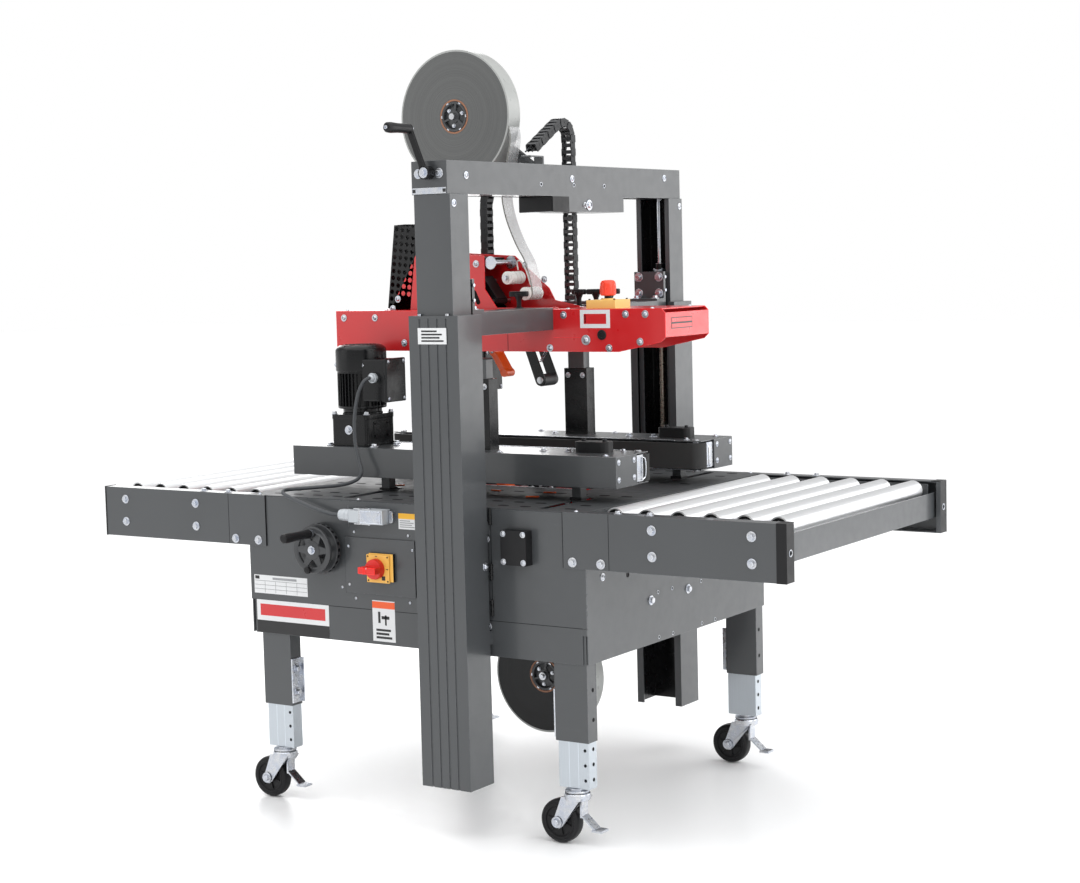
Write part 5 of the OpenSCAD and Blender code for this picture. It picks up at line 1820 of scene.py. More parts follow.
    def tape_plates(self) -> None:
        """Makes the taping head's two side plates, their brackets and pivots."""
        shape = Fasteners("tape_head_plates")
        shape.plate(RED, self.near_plate, (-self.plate_y, -self.plate_y + 0.003), 0.0009)
        shape.plate(RED, self.far_plate, (self.plate_y - 0.003, self.plate_y), 0.0009)
        for x in (-0.3, 0.06):
            for side in (-1, 1):
                low, high = sorted((side * self.plate_y, side * 0.1015))
                shape.box(RED, (x, low, 1.112), (x + 0.006, high, 1.146), 0.0008)
        for x, z in ((0.168, 1.15), (-0.06, 1.15), (0.022, 1.13)):
            shape.lathe(
                STEEL,
                [(0.0, -0.05), (0.0074, -0.05), (0.008, -0.0493), (0.008, 0.0493), (0.0074, 0.05), (0.0, 0.05)],
                (x, 0.0, z), (0, 1, 0), 28,
            )
            for side in (-1, 1):
                shape.screw((x, side * self.plate_y, z), (0, side, 0), 0.0075)
        for x, z in ((-0.293, 1.214), (-0.31, 1.19), (-0.05, 1.298), (-0.03, 1.172)):
            shape.screw((x, -self.plate_y, z), (0, -1, 0), 0.0058, Screw.BUTTON)
        slot = rounded_outline((-0.006, -0.019), (0.006, 0.019), 0.006, 5)
        turn = turned((-0.052, -self.plate_y - 0.0002, 1.216), -25, "Y")
        shape.prism(HOLE, slot, turn @ upright(-1), 0.0002, 0.0)
        for x, z in ((-0.04, 1.205), (0.03, 1.292), (0.086, 1.256)):
            shape.screw((x, self.plate_y - 0.003, z), (0, -1, 0), 0.0055, Screw.BUTTON)
        shape.build(HEAD, "red_paint", ["upper_tape_head"], smooth=35.0)

    def guard(self) -> None:
        """Makes the perforated guard: two side sheets with real holes, and the sheet between them."""
        shape = Shape("tape_guard")
        run = Vector((0.028, 0.0, 0.214)).normalized()
        across = Vector((run.z, 0.0, -run.x))
        start = Vector((-0.3255, 0.0, 1.1905))
        columns, rows, cell = 4, 12, 0.0176
        for side in (-1, 1):
            y = side * 0.05
            out = Vector((0.0, -side * 0.0016, 0.0))
            self.mesh_sheet(shape, start + Vector((0.0, y, 0.0)), run, across, out, (columns, rows, cell))
        length = rows * cell
        back = [start + Vector((0.0, -0.05, 0.0)), start + Vector((0.0, 0.05, 0.0))]
        quad = [back[0], back[1], back[1] + run * length, back[0] + run * length]
        self.slab(shape, quad, across * 0.002)
        roof = [quad[3], quad[2], quad[2] + across * 0.034 + run * 0.006, quad[3] + across * 0.034 + run * 0.006]
        self.slab(shape, roof, run * -0.002)
        shape.build(HEAD, "black_metal", smooth=35.0)

    @staticmethod
    def slab(shape: Shape, quad: Sequence[Vector], lift: Vector) -> None:
        """Adds a flat sheet from four corners.

        Args:
            shape: The mesh it joins.
            quad: The corners, in order.
            lift: Its thickness as a vector.
        """
        low = [shape.mesh.verts.new(p) for p in quad]
        high = [shape.mesh.verts.new(p + lift) for p in quad]
        faces = [shape.mesh.faces.new(low[::-1]), shape.mesh.faces.new(high)]
        faces += [shape.mesh.faces.new((low[i], low[(i + 1) % 4], high[(i + 1) % 4], high[i])) for i in range(4)]
        bmesh.ops.recalc_face_normals(shape.mesh, faces=faces)
        shape.take(faces, BLACK_PAINT)
        shape.round_edges(faces, 0.0005, BLACK_PAINT)

    @staticmethod
    def mesh_sheet(
        shape: Shape, corner: Vector, run: Vector, across: Vector, out: Vector, grid: tuple[int, int, float],
    ) -> None:
        """Adds a sheet with a grid of round-cornered holes.

        Args:
            shape: The mesh it joins.
            corner: Its lower corner.
            run: Unit vector along its height.
            across: Unit vector along its width.
            out: Its thickness as a vector.
            grid: Columns, rows and the pitch of the holes.
        """
        columns, rows, cell = grid
        made = []
        for i in range(columns):
            for j in range(rows):
                low = corner + across * (i * cell) + run * (j * cell)
                plain = (j in (0, 1) and i > 0) or (i == columns - 1 and j in (0, 1, rows - 1))
                outer = [low, low + across * cell, low + across * cell + run * cell, low + run * cell]
                centre = low + (across + run) * (cell / 2)
                inner = None if plain else [
                    centre + (across * cos(radians(a)) + run * sin(radians(a))) * cell * 0.36
                    for a in (225, 270, 315, 0, 45, 90, 135, 180)
                ]
                made += UpperHead.cell(shape, outer, inner, out)
        bmesh.ops.remove_doubles(shape.mesh, verts=list({v for f in made if f.is_valid for v in f.verts}), dist=1e-6)

    @staticmethod
    def cell(shape: Shape, outer: Sequence[Vector], inner: Optional[Sequence[Vector]], out: Vector) -> list:
        """Adds one square cell of a perforated sheet, front, back and hole wall.

        Args:
            shape: The mesh it joins.
            outer: Its four corners.
            inner: Eight points around its hole, or nothing for a plain cell.
            out: Thickness as a vector.

        Returns:
            The new faces.
        """
        faces = []
        if inner is None:
            for lift in (Vector(), out):
                faces.append(shape.mesh.faces.new([shape.mesh.verts.new(p + lift) for p in outer]))
        else:
            layers = []
            for lift in (Vector(), out):
                corners = [shape.mesh.verts.new(p + lift) for p in outer]
                hole = [shape.mesh.verts.new(p + lift) for p in inner]
                for k in range(4):
                    a, b, c = hole[2 * k], hole[2 * k + 1], hole[(2 * k + 2) % 8]
                    faces.append(shape.mesh.faces.new((corners[k], corners[(k + 1) % 4], c, b, a)))
                layers.append(hole)
            near, far = layers
            for k in range(8):
                faces.append(shape.mesh.faces.new((near[k], near[(k + 1) % 8], far[(k + 1) % 8], far[k])))
        shape.take(faces, BLACK_PAINT)
        return faces

    def mechanism(self) -> None:
        """Fills the space between the plates: tension rollers, brake lever, spring and guides."""
        shape = Fasteners("tape_head_inside")
        for number, (x, z) in enumerate(self.rollers):
            drum = [
                (0.0062, -0.032), (0.01, -0.0318), (0.0105, -0.03), (0.0148, -0.03), (0.016, -0.029), (0.016, -0.024), (
                    0.0146, -0.0232,
                ),
                (0.0146, 0.0212), (0.016, 0.022), (0.016, 0.029), (0.0148, 0.03), (0.0062, 0.03),
            ]
            shape.lathe(WHITE_PLASTIC, drum, (x, 0.0, z), (0, 1, 0), 36, closed=True)
            shape.lathe(
                STEEL, [(0.0, -0.036), (0.0052, -0.036), (0.006, -0.0352), (0.006, 0.047), (0.0, 0.047)],
                (x, 0.0, z), (0, 1, 0), 24,
            )
            shape.screw((x, -0.036, z), (0, -1, 0), 0.0056, washer=1.3)
            for k in range(3):
                y = -0.02 + 0.016 * k + 0.003 * number
                shape.ring(WHITE_PLASTIC, (x, y, z), (0, 1, 0), 0.0147, 0.0012, 36)
        lever = ((-0.14, 1.205), (-0.128, 1.232), (-0.032, 1.205), (0.03, 1.15), (0.018, 1.134), (-0.044, 1.182))
        for y in (-0.03, 0.026):
            shape.plate(BLACK_PAINT, lever, (y, y + 0.004), 0.001)
        brake = ((-0.07, 1.244), (-0.05, 1.268), (-0.008, 1.212), (-0.03, 1.196))
        shape.plate(BLACK_PLASTIC, brake, (-0.024, 0.022), 0.0016)
        for x, z, r in ((-0.12, 1.218, 0.01), (-0.06, 1.256, 0.0085), (-0.018, 1.206, 0.009)):
            shape.lathe(STEEL, disc(r * 0.5, 0.0465, -0.0465), (x, 0.0, z), (0, 1, 0), 20)
            shape.lathe(BLACK_PLASTIC, disc(r, 0.024, -0.026), (x, 0.0, z), (0, 1, 0), 24)
        for start, end, y in (((-0.2, 1.29), (-0.07, 1.262), -0.036), ((-0.255, 1.225), (-0.13, 1.214), 0.036)):
            coil = []
            for k in range(161):
                t = k / 160
                turn = 2 * pi * 20 * t
                coil.append(
                    (
                        start[0] + (end[0] - start[0]) * t, y + 0.0048 * sin(turn),
                        start[1] + (end[1] - start[1]) * t + 0.0048 * cos(turn),
                    )
                )
            shape.tube(CHROME, coil, 0.0009, 6)
            for p in (start, end):
                shape.lathe(ZINC, disc(0.003, 0.011, -0.01), (p[0], y, p[1]), (0, 1, 0), 14)
        shape.box(BLACK_PAINT, (-0.3, -0.046, 1.19), (-0.18, 0.046, 1.193), 0.0006)
        shape.plate(
            BLACK_PLASTIC, ((-0.222, 1.325), (-0.03, 1.312), (-0.032, 1.306), (-0.224, 1.319)), (-0.046, 0.046),
            0.0008,
        )
        shape.lathe(
            ZINC,
            [
                (0.0, -0.046), (0.016, -0.046), (0.016, -0.044), (0.006, -0.0435), (0.006, 0.0435),
                (0.016, 0.044), (0.016, 0.046), (0.0, 0.046),
            ],
            (-0.01, 0.0, 1.3), (0, 1, 0), 32,
        )
        wire = spline(
            (
                (0.027, 0.02, 1.281), (0.03, 0.012, 1.3), (0.046, 0.004, 1.302), (0.062, 0.002, 1.28),
                (0.074, 0.004, 1.243),
            ),
            6,
        )
        shape.tube(WHITE_PLASTIC, wire, 0.0018, 8)
        shape.build(HEAD, "black_metal", smooth=40.0)

    def knobs(self) -> None:
        """Screws the black T knobs into the casing's top."""
        shape = Shape("tee_knobs")
        for x, y, turn in ((0.094, -0.08, 20.0), (0.165, 0.08, -20.0), (0.214, 0.08, 15.0), (0.255, 0.08, 40.0)):
            base = self.top
            profile = [
                (0.0, 0.0), (0.0105, 0.0), (0.0105, 0.004), (0.006, 0.005), (0.006, 0.02), (0.01, 0.03),
                (0.012, 0.033), (0.012, 0.038), (0.0, 0.04),
            ]
            shape.lathe(BLACK_PLASTIC, profile, (x, y, base), (0, 0, 1), 24)
            place = turned((x, y, base + 0.03), turn, "Z")
            shape.prism(
                BLACK_PLASTIC, rounded_outline((-0.024, -0.0085), (0.024, 0.0085), 0.0075), place, 0.013, 0.003,
            )
            shape.lathe(ZINC, disc(0.0135, 0.0016, rim=0.0128), (x, y, base), (0, 0, 1), 24)
        shape.build(HEAD, "black_plastic", smooth=40.0)

    def stop_button(self) -> None:
        """Makes the red mushroom button."""
        x, y = 0.327, -0.05
        shape = Shape("stop_mushroom")
        profile = [
            (0.0, 0.012), (0.0088, 0.012), (0.0088, 0.029), (0.015, 0.0292), (0.0182, 0.031), (0.019, 0.034), (0.019, 0.054), (
                0.0184, 0.0585,
            ),
            (0.0168, 0.0625), (0.014, 0.065), (0.008, 0.066), (0.0, 0.0661),
        ]
        shape.lathe(
            BUTTON_RED, profile, (x, y, self.top), (0, 0, 1), 48,
            finish_at=lambda i: BLACK_PLASTIC if i < 3 else BUTTON_RED,
        )
        for k in range(18):
            a = radians(20 * k)
            turn = Matrix.Translation(
                (x, y, self.top + 0.034)
            ) @ Matrix.Rotation(a, 4, "Z") @ Matrix.Translation((0.0188, 0.0, 0.0))
            shape.prism(
                BUTTON_RED, [(0.0, -0.0011), (0.0007, -0.0005), (0.0007, 0.0005), (0.0, 0.0011)], turn, 0.017,
                0.0,
            )
        shape.build("estop_button", "estop_red", ["estop_button"], smooth=40.0)


# ---------------------------------------------------------------- taping arms and lower head


@dataclass
class TapingArm:
    """An arm that carries a tape roller on two bent plates; the lower one mirrors the upper one."""

    node: str
    roller_x: float
    below_bed: bool = False
    mirror: float = 0.919
    pivot_z: float = 1.15
    elbow_z: float = 1.09
    roller_z: float = 1.012

    def level(self, z: float) -> float:
        """A height, mirrored on the lower head."""
        return 2 * self.mirror - z if self.below_bed else z

    def build(self) -> None:
        """Makes the arm."""
        shape = Fasteners(f"{self.node}_plates")
        pivot = Vector((self.roller_x + 0.051, 0.0, self.level(self.pivot_z)))
        elbow = Vector((self.roller_x - 0.03, 0.0, self.level(self.elbow_z)))
        foot = Vector((self.roller_x, 0.0, self.level(self.roller_z)))
        for y in (-0.031, 0.027):
            shape.plate(BLACK_PAINT, self.outline(pivot, elbow, foot), (y, y + 0.004), 0.0009)
        shape.lathe(
            BLACK_PAINT, [(0.0081, -0.028), (0.012, -0.028), (0.012, 0.028), (0.0081, 0.028)], pivot, (0, 1, 0),
            28, closed=True,
        )
        shape.lathe(STEEL, disc(0.007, 0.028, -0.028), elbow, (0, 1, 0), 24)
        groove = [(0.0, -0.027), (0.0144, -0.027), (0.015, -0.0262)]
        for k in range(9):
            y = -0.0225 + k * 0.005
            groove += [(0.015, y), (0.0143, y + 0.0008), (0.0143, y + 0.0017), (0.015, y + 0.0025)]
        groove += [(0.015, 0.0262), (0.0144, 0.027), (0.0, 0.027)]
        shape.lathe(RUBBER if self.below_bed else GRIP_RUBBER, groove, foot, (0, 1, 0), 36)
        for side in (-1, 1):
            shape.lathe(
                STEEL, [(0.0, 0.0), (0.0088, 0.0), (0.0082, 0.0012), (0.005, 0.0016), (0.0, 0.0016)],
                foot + Vector((0, side * 0.0312, 0)), (0, side, 0), 24,
            )
            shape.screw(elbow + Vector((0, side * 0.031, 0)), (0, side, 0), 0.0048, Screw.BUTTON, washer=0.0)
        coil = []
        top = pivot.lerp(elbow, 0.4) + Vector((0.0, 0.0, self.level(1.0) - self.level(1.012)))
        low = foot.lerp(elbow, 0.55)
        for k in range(121):
            t = k / 120
            turn = 2 * pi * 15 * t
            p = top.lerp(low, t)
            coil.append((p.x + 0.0042 * cos(turn), p.y + 0.0042 * sin(turn), p.z))
        shape.tube(CHROME, coil, 0.0009, 6)
        shape.build(self.node, "black_metal", [self.node], smooth=35.0)

    @staticmethod
    def outline(pivot: Vector, elbow: Vector, foot: Vector) -> list[tuple[float, float]]:
        """The plate's outline: two tapered bars with round ends, joined at the elbow.

        Args:
            pivot: Centre of the upper eye.
            elbow: Centre of the bend.
            foot: Centre of the roller.

        Returns:
            The outline in XZ.
        """
        flat = [Vector((p.x, p.z)) for p in (pivot, elbow, foot)]
        radii = (0.013, 0.0128, 0.014)
        first, second = (flat[1] - flat[0]).normalized(), (flat[2] - flat[1]).normalized()
        left = [Vector((-d.y, d.x)) for d in (first, second)]
        points: list[tuple[float, float]] = []
        bend = first.angle_signed(second)
        runs = (
            (0, left[0], second, -left[0], -bend, -left[0] - left[1]),
            (2, -left[1], -first, left[1], bend, left[0] + left[1]),
        )
        for end, start, ahead, side, sweep, corner in runs:
            points += swept(flat[end], radii[end], start, pi, 10)
            if side.dot(ahead) < 0:
                points += swept(flat[1], radii[1], side, sweep, 6)
            else:
                points.append(tuple(flat[1] + corner.normalized() * radii[1] / max(0.3, cos(bend / 2))))
        return points


@dataclass
class KnifeGuard:
    """The orange guard that covers the knife, on its own pivot."""

    node: str = "upper_knife_guard"

    def build(self) -> None:
        """Makes the guard."""
        shape = Fasteners("knife_cover")
        shape.node(self.node, ORANGE, (), 0.0012)
        for side in (-1, 1):
            shape.lathe(
                BLACK_PLASTIC, [(0.0084, 0.0), (0.0125, 0.0), (0.012, 0.0015), (0.0084, 0.0015)],
                (0.022, side * 0.02, 1.13), (0, side, 0), 24,
            )
            shape.screw((-0.03, side * 0.02, 1.08), (0, side, 0), 0.004, Screw.BUTTON, washer=0.0)
        shape.build(self.node, "guard_orange", [self.node], smooth=35.0)


@dataclass
class LowerHead:
    """The taping head under the bed, with its rails, the units' guide rods and the roll's bracket."""

    def build(self) -> None:
        """Makes the lower head."""
        zones = [
            Zone(
                PAINT, (-0.49, -0.0705, 0.6715), (0.49, -0.0635, 0.7085),
            ), Zone(PAINT, (-0.49, 0.0635, 0.6715), (0.49, 0.0705, 0.7085)),
            Zone(STEEL, (-0.22, 0.0706, 0.675), (0.37, 0.43, 0.705)), Zone(
                STEEL, (-0.22, -0.43, 0.675), (0.37, -0.0706, 0.705),
            ),
            Zone(
                BLACK_PAINT, (0.05, 0.0415, 0.24), (0.16, 0.0469, 0.61),
            ), Zone(STEEL, (0.09, -0.04, 0.27), (0.12, 0.0419, 0.29)),
            Zone(STEEL, (-0.07, -0.0469, 0.68), (0.18, 0.0469, 0.7)),
        ]
        dress("lower_head_plates", "lower_head_frame", RED, FRAME, "red_paint", zones, 0.0009)
        parts = Fasteners("lower_head_parts")
        for x in (-0.19, 0.2):
            for z in (0.72, 0.65):
                for side in (-1, 1):
                    parts.screw((x, side * 0.05, z), (0, side, 0), 0.0058, Screw.BUTTON)
        for x in (0.168, -0.06):
            for side in (-1, 1):
                parts.screw((x, side * 0.05, 0.688), (0, side, 0), 0.0075)
        for x, z in ((0.027, 0.64), (-0.06, 0.62)):
            parts.lathe(WHITE_PLASTIC, disc(0.0155, 0.03, -0.03), (x, 0.0, z), (0, 1, 0), 32)
            parts.lathe(STEEL, disc(0.005, 0.0465, -0.0465), (x, 0.0, z), (0, 1, 0), 20)
        cover = ((-0.006, 0.7), (0.016, 0.7), (0.002, 0.748), (-0.022, 0.77), (-0.034, 0.762))
        parts.plate(ORANGE, cover, (-0.018, 0.018), 0.0015)
        for x in (-0.19, 0.05):
            parts.lathe(STEEL, disc(0.0045, 0.0465, -0.0465), (x, 0.0, 0.655), (0, 1, 0), 20)
        parts.screw((0.104, -0.033, 0.28), (0, -1, 0), 0.0065)
        parts.build(FRAME, "steel", smooth=40.0)


# ---------------------------------------------------------------- tape


@dataclass
class TapeRoll:
    """A roll of wound tape on its core and hub."""

    node: str
    x: float
    z: float
    diameter: float
    finish: Finish
    half: float = 0.025
    core: float = 0.038

    def build(self) -> None:
        """Makes the roll."""
        shape = Fasteners(f"{self.node}_film")
        at = (self.x, 0.0, self.z)
        r, h = self.diameter / 2, self.half
        film = [
            (
                self.core + 0.0035, -h,
            ), (r - 0.0045, -h), (r - 0.0006, -h), (r, -h + 0.0006), (r, h - 0.0006), (r - 0.0006, h),
            (self.core + 0.0035, h),
        ]
        shape.lathe(
            self.finish, film, at, (0, 1, 0), 96, closed=True,
            finish_at=lambda i: TAPE_RIM if 0 < i < 5 else self.finish,
        )
        shape.lathe(
            PAPER_CORE,
            [
                (self.core, -h - 0.0005), (self.core + 0.0042, -h - 0.0005), (self.core + 0.0042, h + 0.0005),
                (self.core, h + 0.0005),
            ],
            at, (0, 1, 0), 64, closed=True,
        )
        hub = [
            (
                0.0082, -h - 0.002,
            ), (0.015, -h - 0.002), (0.0155, -h + 0.003), (0.03, -h + 0.006), (0.031, -h - 0.001), (0.034, -h - 0.002),
            (0.037, -h - 0.0012), (0.0379, h), (0.037, h + 0.0018), (0.0082, h + 0.0018),
        ]
        shape.lathe(BLACK_HARD, hub, at, (0, 1, 0), 56, closed=True)
        for k in range(3):
            a = radians(120 * k + 20)
            place = (self.x + 0.0225 * cos(a), -h + 0.0042, self.z + 0.0225 * sin(a))
            shape.screw(place, (0, -1, 0), 0.004, washer=1.3)
            turn = Matrix.Translation((self.x, -h + 0.003, self.z)) @ Matrix.Rotation(-a - radians(60), 4, "Y")
            flat = turn @ upright(-1)
            shape.prism(
                BLACK_HARD, [(0.014, -0.003), (0.0315, -0.0022), (0.0315, 0.0022), (0.014, 0.003)], flat, 0.0042,
                0.0006,
            )
        for k in range(6):
            a = radians(60 * k)
            turn = Matrix.Translation((self.x, 0.0, self.z)) @ Matrix.Rotation(a, 4, "Y")
            shape.prism(
                ZINC, [(0.0345, -0.0035), (0.0376, -0.003), (0.0376, 0.003), (0.0345, 0.0035)],
                turn @ upright(-1, 0, -h - 0.0008), 0.0016, 0.0004,
            )
        shape.build(self.node, "tape", [self.node], smooth=35.0)


@dataclass
class TapeWeb:
    """The film that runs from the upper roll down to the tension rollers."""

    half: float = 0.024
    route: tuple[Point, ...] = (
        (0.036, 1.64), (0.042, 1.6), (0.03, 1.545), (0.016, 1.49), (0.014, 1.45), (0.026, 1.4), (0.05, 1.345), (0.078, 1.296), (
            0.0945, 1.232,
        ),
        (0.088, 1.212), (0.07, 1.207),
    )

    def build(self) -> None:
        """Makes the film."""
        line = spline([(x, 0.0, z) for x, z in self.route], 6)
        shape = Shape("tape_film")
        thick = 0.0003
        sides = []
        for i, point in enumerate(line):
            heading = line[min(i + 1, len(line) - 1)] - line[max(i - 1, 0)]
            normal = Vector((-heading.z, 0.0, heading.x)).normalized() * thick
            sides.append([shape.mesh.verts.new(point + Vector((0.0, y, 0.0)) + n) for y, n in (
                (-self.half, normal), (self.half, normal), (self.half, -normal), (-self.half, -normal))])
        faces = []
        for a, b in zip(sides, sides[1:]):
            faces += [shape.mesh.faces.new((a[k], a[(k + 1) % 4], b[(k + 1) % 4], b[k])) for k in range(4)]
        faces += [shape.mesh.faces.new(sides[0][::-1]), shape.mesh.faces.new(sides[-1])]
        bmesh.ops.recalc_face_normals(shape.mesh, faces=faces)
        shape.take(faces, CLEAR_FILM)
        edge = [Vector((p.x, -self.half + 0.002, p.z)) for p in line]
        shape.tube(FILM_EDGE, edge[2:-4], 0.0016, 8)
        piece = shape.build(FRAME, "tape", smooth=60.0, ride=False)
        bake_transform(piece)


# ---------------------------------------------------------------- energy chains


@dataclass
class EnergyChain:
    """One cable carrier: separate links along a bent path."""

    name: str
    width: float
    thick: float
    pitch: float
    path: list[Vector]
    side: Vector
    start: float
    end: float

    def build(self, replaces: Sequence[str] = ()) -> None:
        """Makes the links.

        Args:
            replaces: CAD nodes that it stands for.
        """
        shape = Shape(self.name)
        total = length_of(self.path)
        count = int(total / self.pitch)
        for k in range(count):
            here, ahead = self.at((k + 0.5) * self.pitch), self.at((k + 0.5) * self.pitch + 0.001)
            along = (ahead - here).normalized()
            normal = self.side.cross(along).normalized()
            place = Matrix((along, self.side, normal)).transposed().to_4x4()
            place.translation = here
            self.link(shape, place, k)
        piece = shape.build(FRAME, "black_plastic", replaces, smooth=40.0, ride=False)
        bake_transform(piece)

    def at(self, distance: float) -> Vector:
        """The point at a distance along the path."""
        for a, b in zip(self.path, self.path[1:]):
            step = (b - a).length
            if distance <= step:
                return a.lerp(b, distance / max(step, 1e-9))
            distance -= step
        return self.path[-1] + (self.path[-1] - self.path[-2]).normalized() * distance

    def link(self, shape: Shape, place: Matrix, number: int) -> None:
        """Adds one link: two side plates and two crossbars, with a pin between neighbours.

        Args:
            shape: The mesh it joins.
            place: Its own frame: +X along the chain, +Y across it.
            number: Its place in the chain.
        """
        w, t, p = self.width / 2, self.thick / 2, self.pitch
        inset = 0.0014 if number % 2 else 0.0
        for s in (-1, 1):
            y = sorted((s * (w - inset), s * (w - inset - 0.0026)))
            outline = [
                (-p * 0.6, -t), (p * 0.42, -t), (p * 0.6, -t * 0.5), (p * 0.6, t * 0.5), (p * 0.42, t),
                (-p * 0.6, t),
            ]
            flat = place @ upright(1, 0, y[0])
            shape.prism(CHAIN_PLASTIC, outline, flat, y[1] - y[0], 0.0)
            pin = place @ Vector((p * 0.44, s * (w - 0.0002), 0.0))
            shape.lathe(CHAIN_PLASTIC, dot(0.0034, 0.0006), pin, place.to_3x3() @ Vector((0, s, 0)), 10)
        for s in (-1, 1):
            z = sorted((s * t, s * (t - 0.0022)))
            flat = place @ Matrix.Translation((0.0, 0.0, z[0]))
            shape.prism(
                CHAIN_BAR,
                [(-p * 0.28, -w + 0.002), (p * 0.22, -w + 0.002), (p * 0.22, w - 0.002), (-p * 0.28, w - 0.002)],
                flat, z[1] - z[0], 0.0004,
            )
        if number % 3 == 0:
            flat = place @ Matrix.Translation((0.0, 0.0, -t + 0.002))
            shape.prism(
                CHAIN_PLASTIC, [(-p * 0.5, -0.0008), (p * 0.5, -0.0008), (p * 0.5, 0.0008), (-p * 0.5, 0.0008)],
                flat, 2 * t - 0.004, 0.0,
            )


def chains() -> None:
    """Makes both cable carriers, with their cables."""
    bend = [(130 + 40 * cos(radians(a)), 1602 + 40 * sin(radians(a))) for a in range(0, 121, 6)]
    tip = (bend[-1][0] + 140 * cos(radians(210)), bend[-1][1] + 140 * sin(radians(210)))
    head_path = [Vector((0.088, y / 1000, z / 1000)) for y, z in [(170.0, 1200.0), *bend, tip]]
    EnergyChain(
        "head_chain_links", 0.03, 0.02, 0.0165, head_path, Vector((1.0, 0.0, 0.0)), 1.6, 1.205,
    ).build(["energy_chains"])
    wide = [(-50 + 68 * cos(radians(a)), 1440 + 68 * sin(radians(a))) for a in range(180, 39, -6)]
    sensor_path = [Vector((x / 1000, 0.1, z / 1000)) for x, z in [(-118.0, 1188.0), *wide]]
    EnergyChain("sensor_chain_links", 0.03, 0.02, 0.0165, sensor_path, Vector((0.0, 1.0, 0.0)), 1.5, 1.195).build()
    for name, path, ends in (
        ("head_chain_cables", head_path, (1.6, 1.205)), ("sensor_chain_cables", sensor_path, (1.5, 1.195)),
    ):
        shape = Shape(name)
        across = Vector((1.0, 0.0, 0.0)) if path is head_path else Vector((0.0, 1.0, 0.0))
        fine = [a.lerp(b, k / 12) for a, b in zip(path, path[1:]) for k in range(12)] if len(path) < 4 else path
        dense = [path[0].lerp(path[1], k / 24) for k in range(24)] + list(fine[1:])
        for offset, radius, finish in ((-0.0098, 0.002, SHEATH), (0.0098, 0.002, BLACK_PLASTIC)):
            shape.tube(finish, [p + across * offset for p in dense], radius, 8)
        piece = shape.build(FRAME, "cord_grey", smooth=60.0, ride=False)
        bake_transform(piece)


# ---------------------------------------------------------------- side belts


@dataclass
class SidePart:
    """A part that rides on one of the two side units."""

    name: str
    side: int

    @property
    def body(self) -> str:
        """The body it moves with."""
        return f"{self.name}_side_unit"


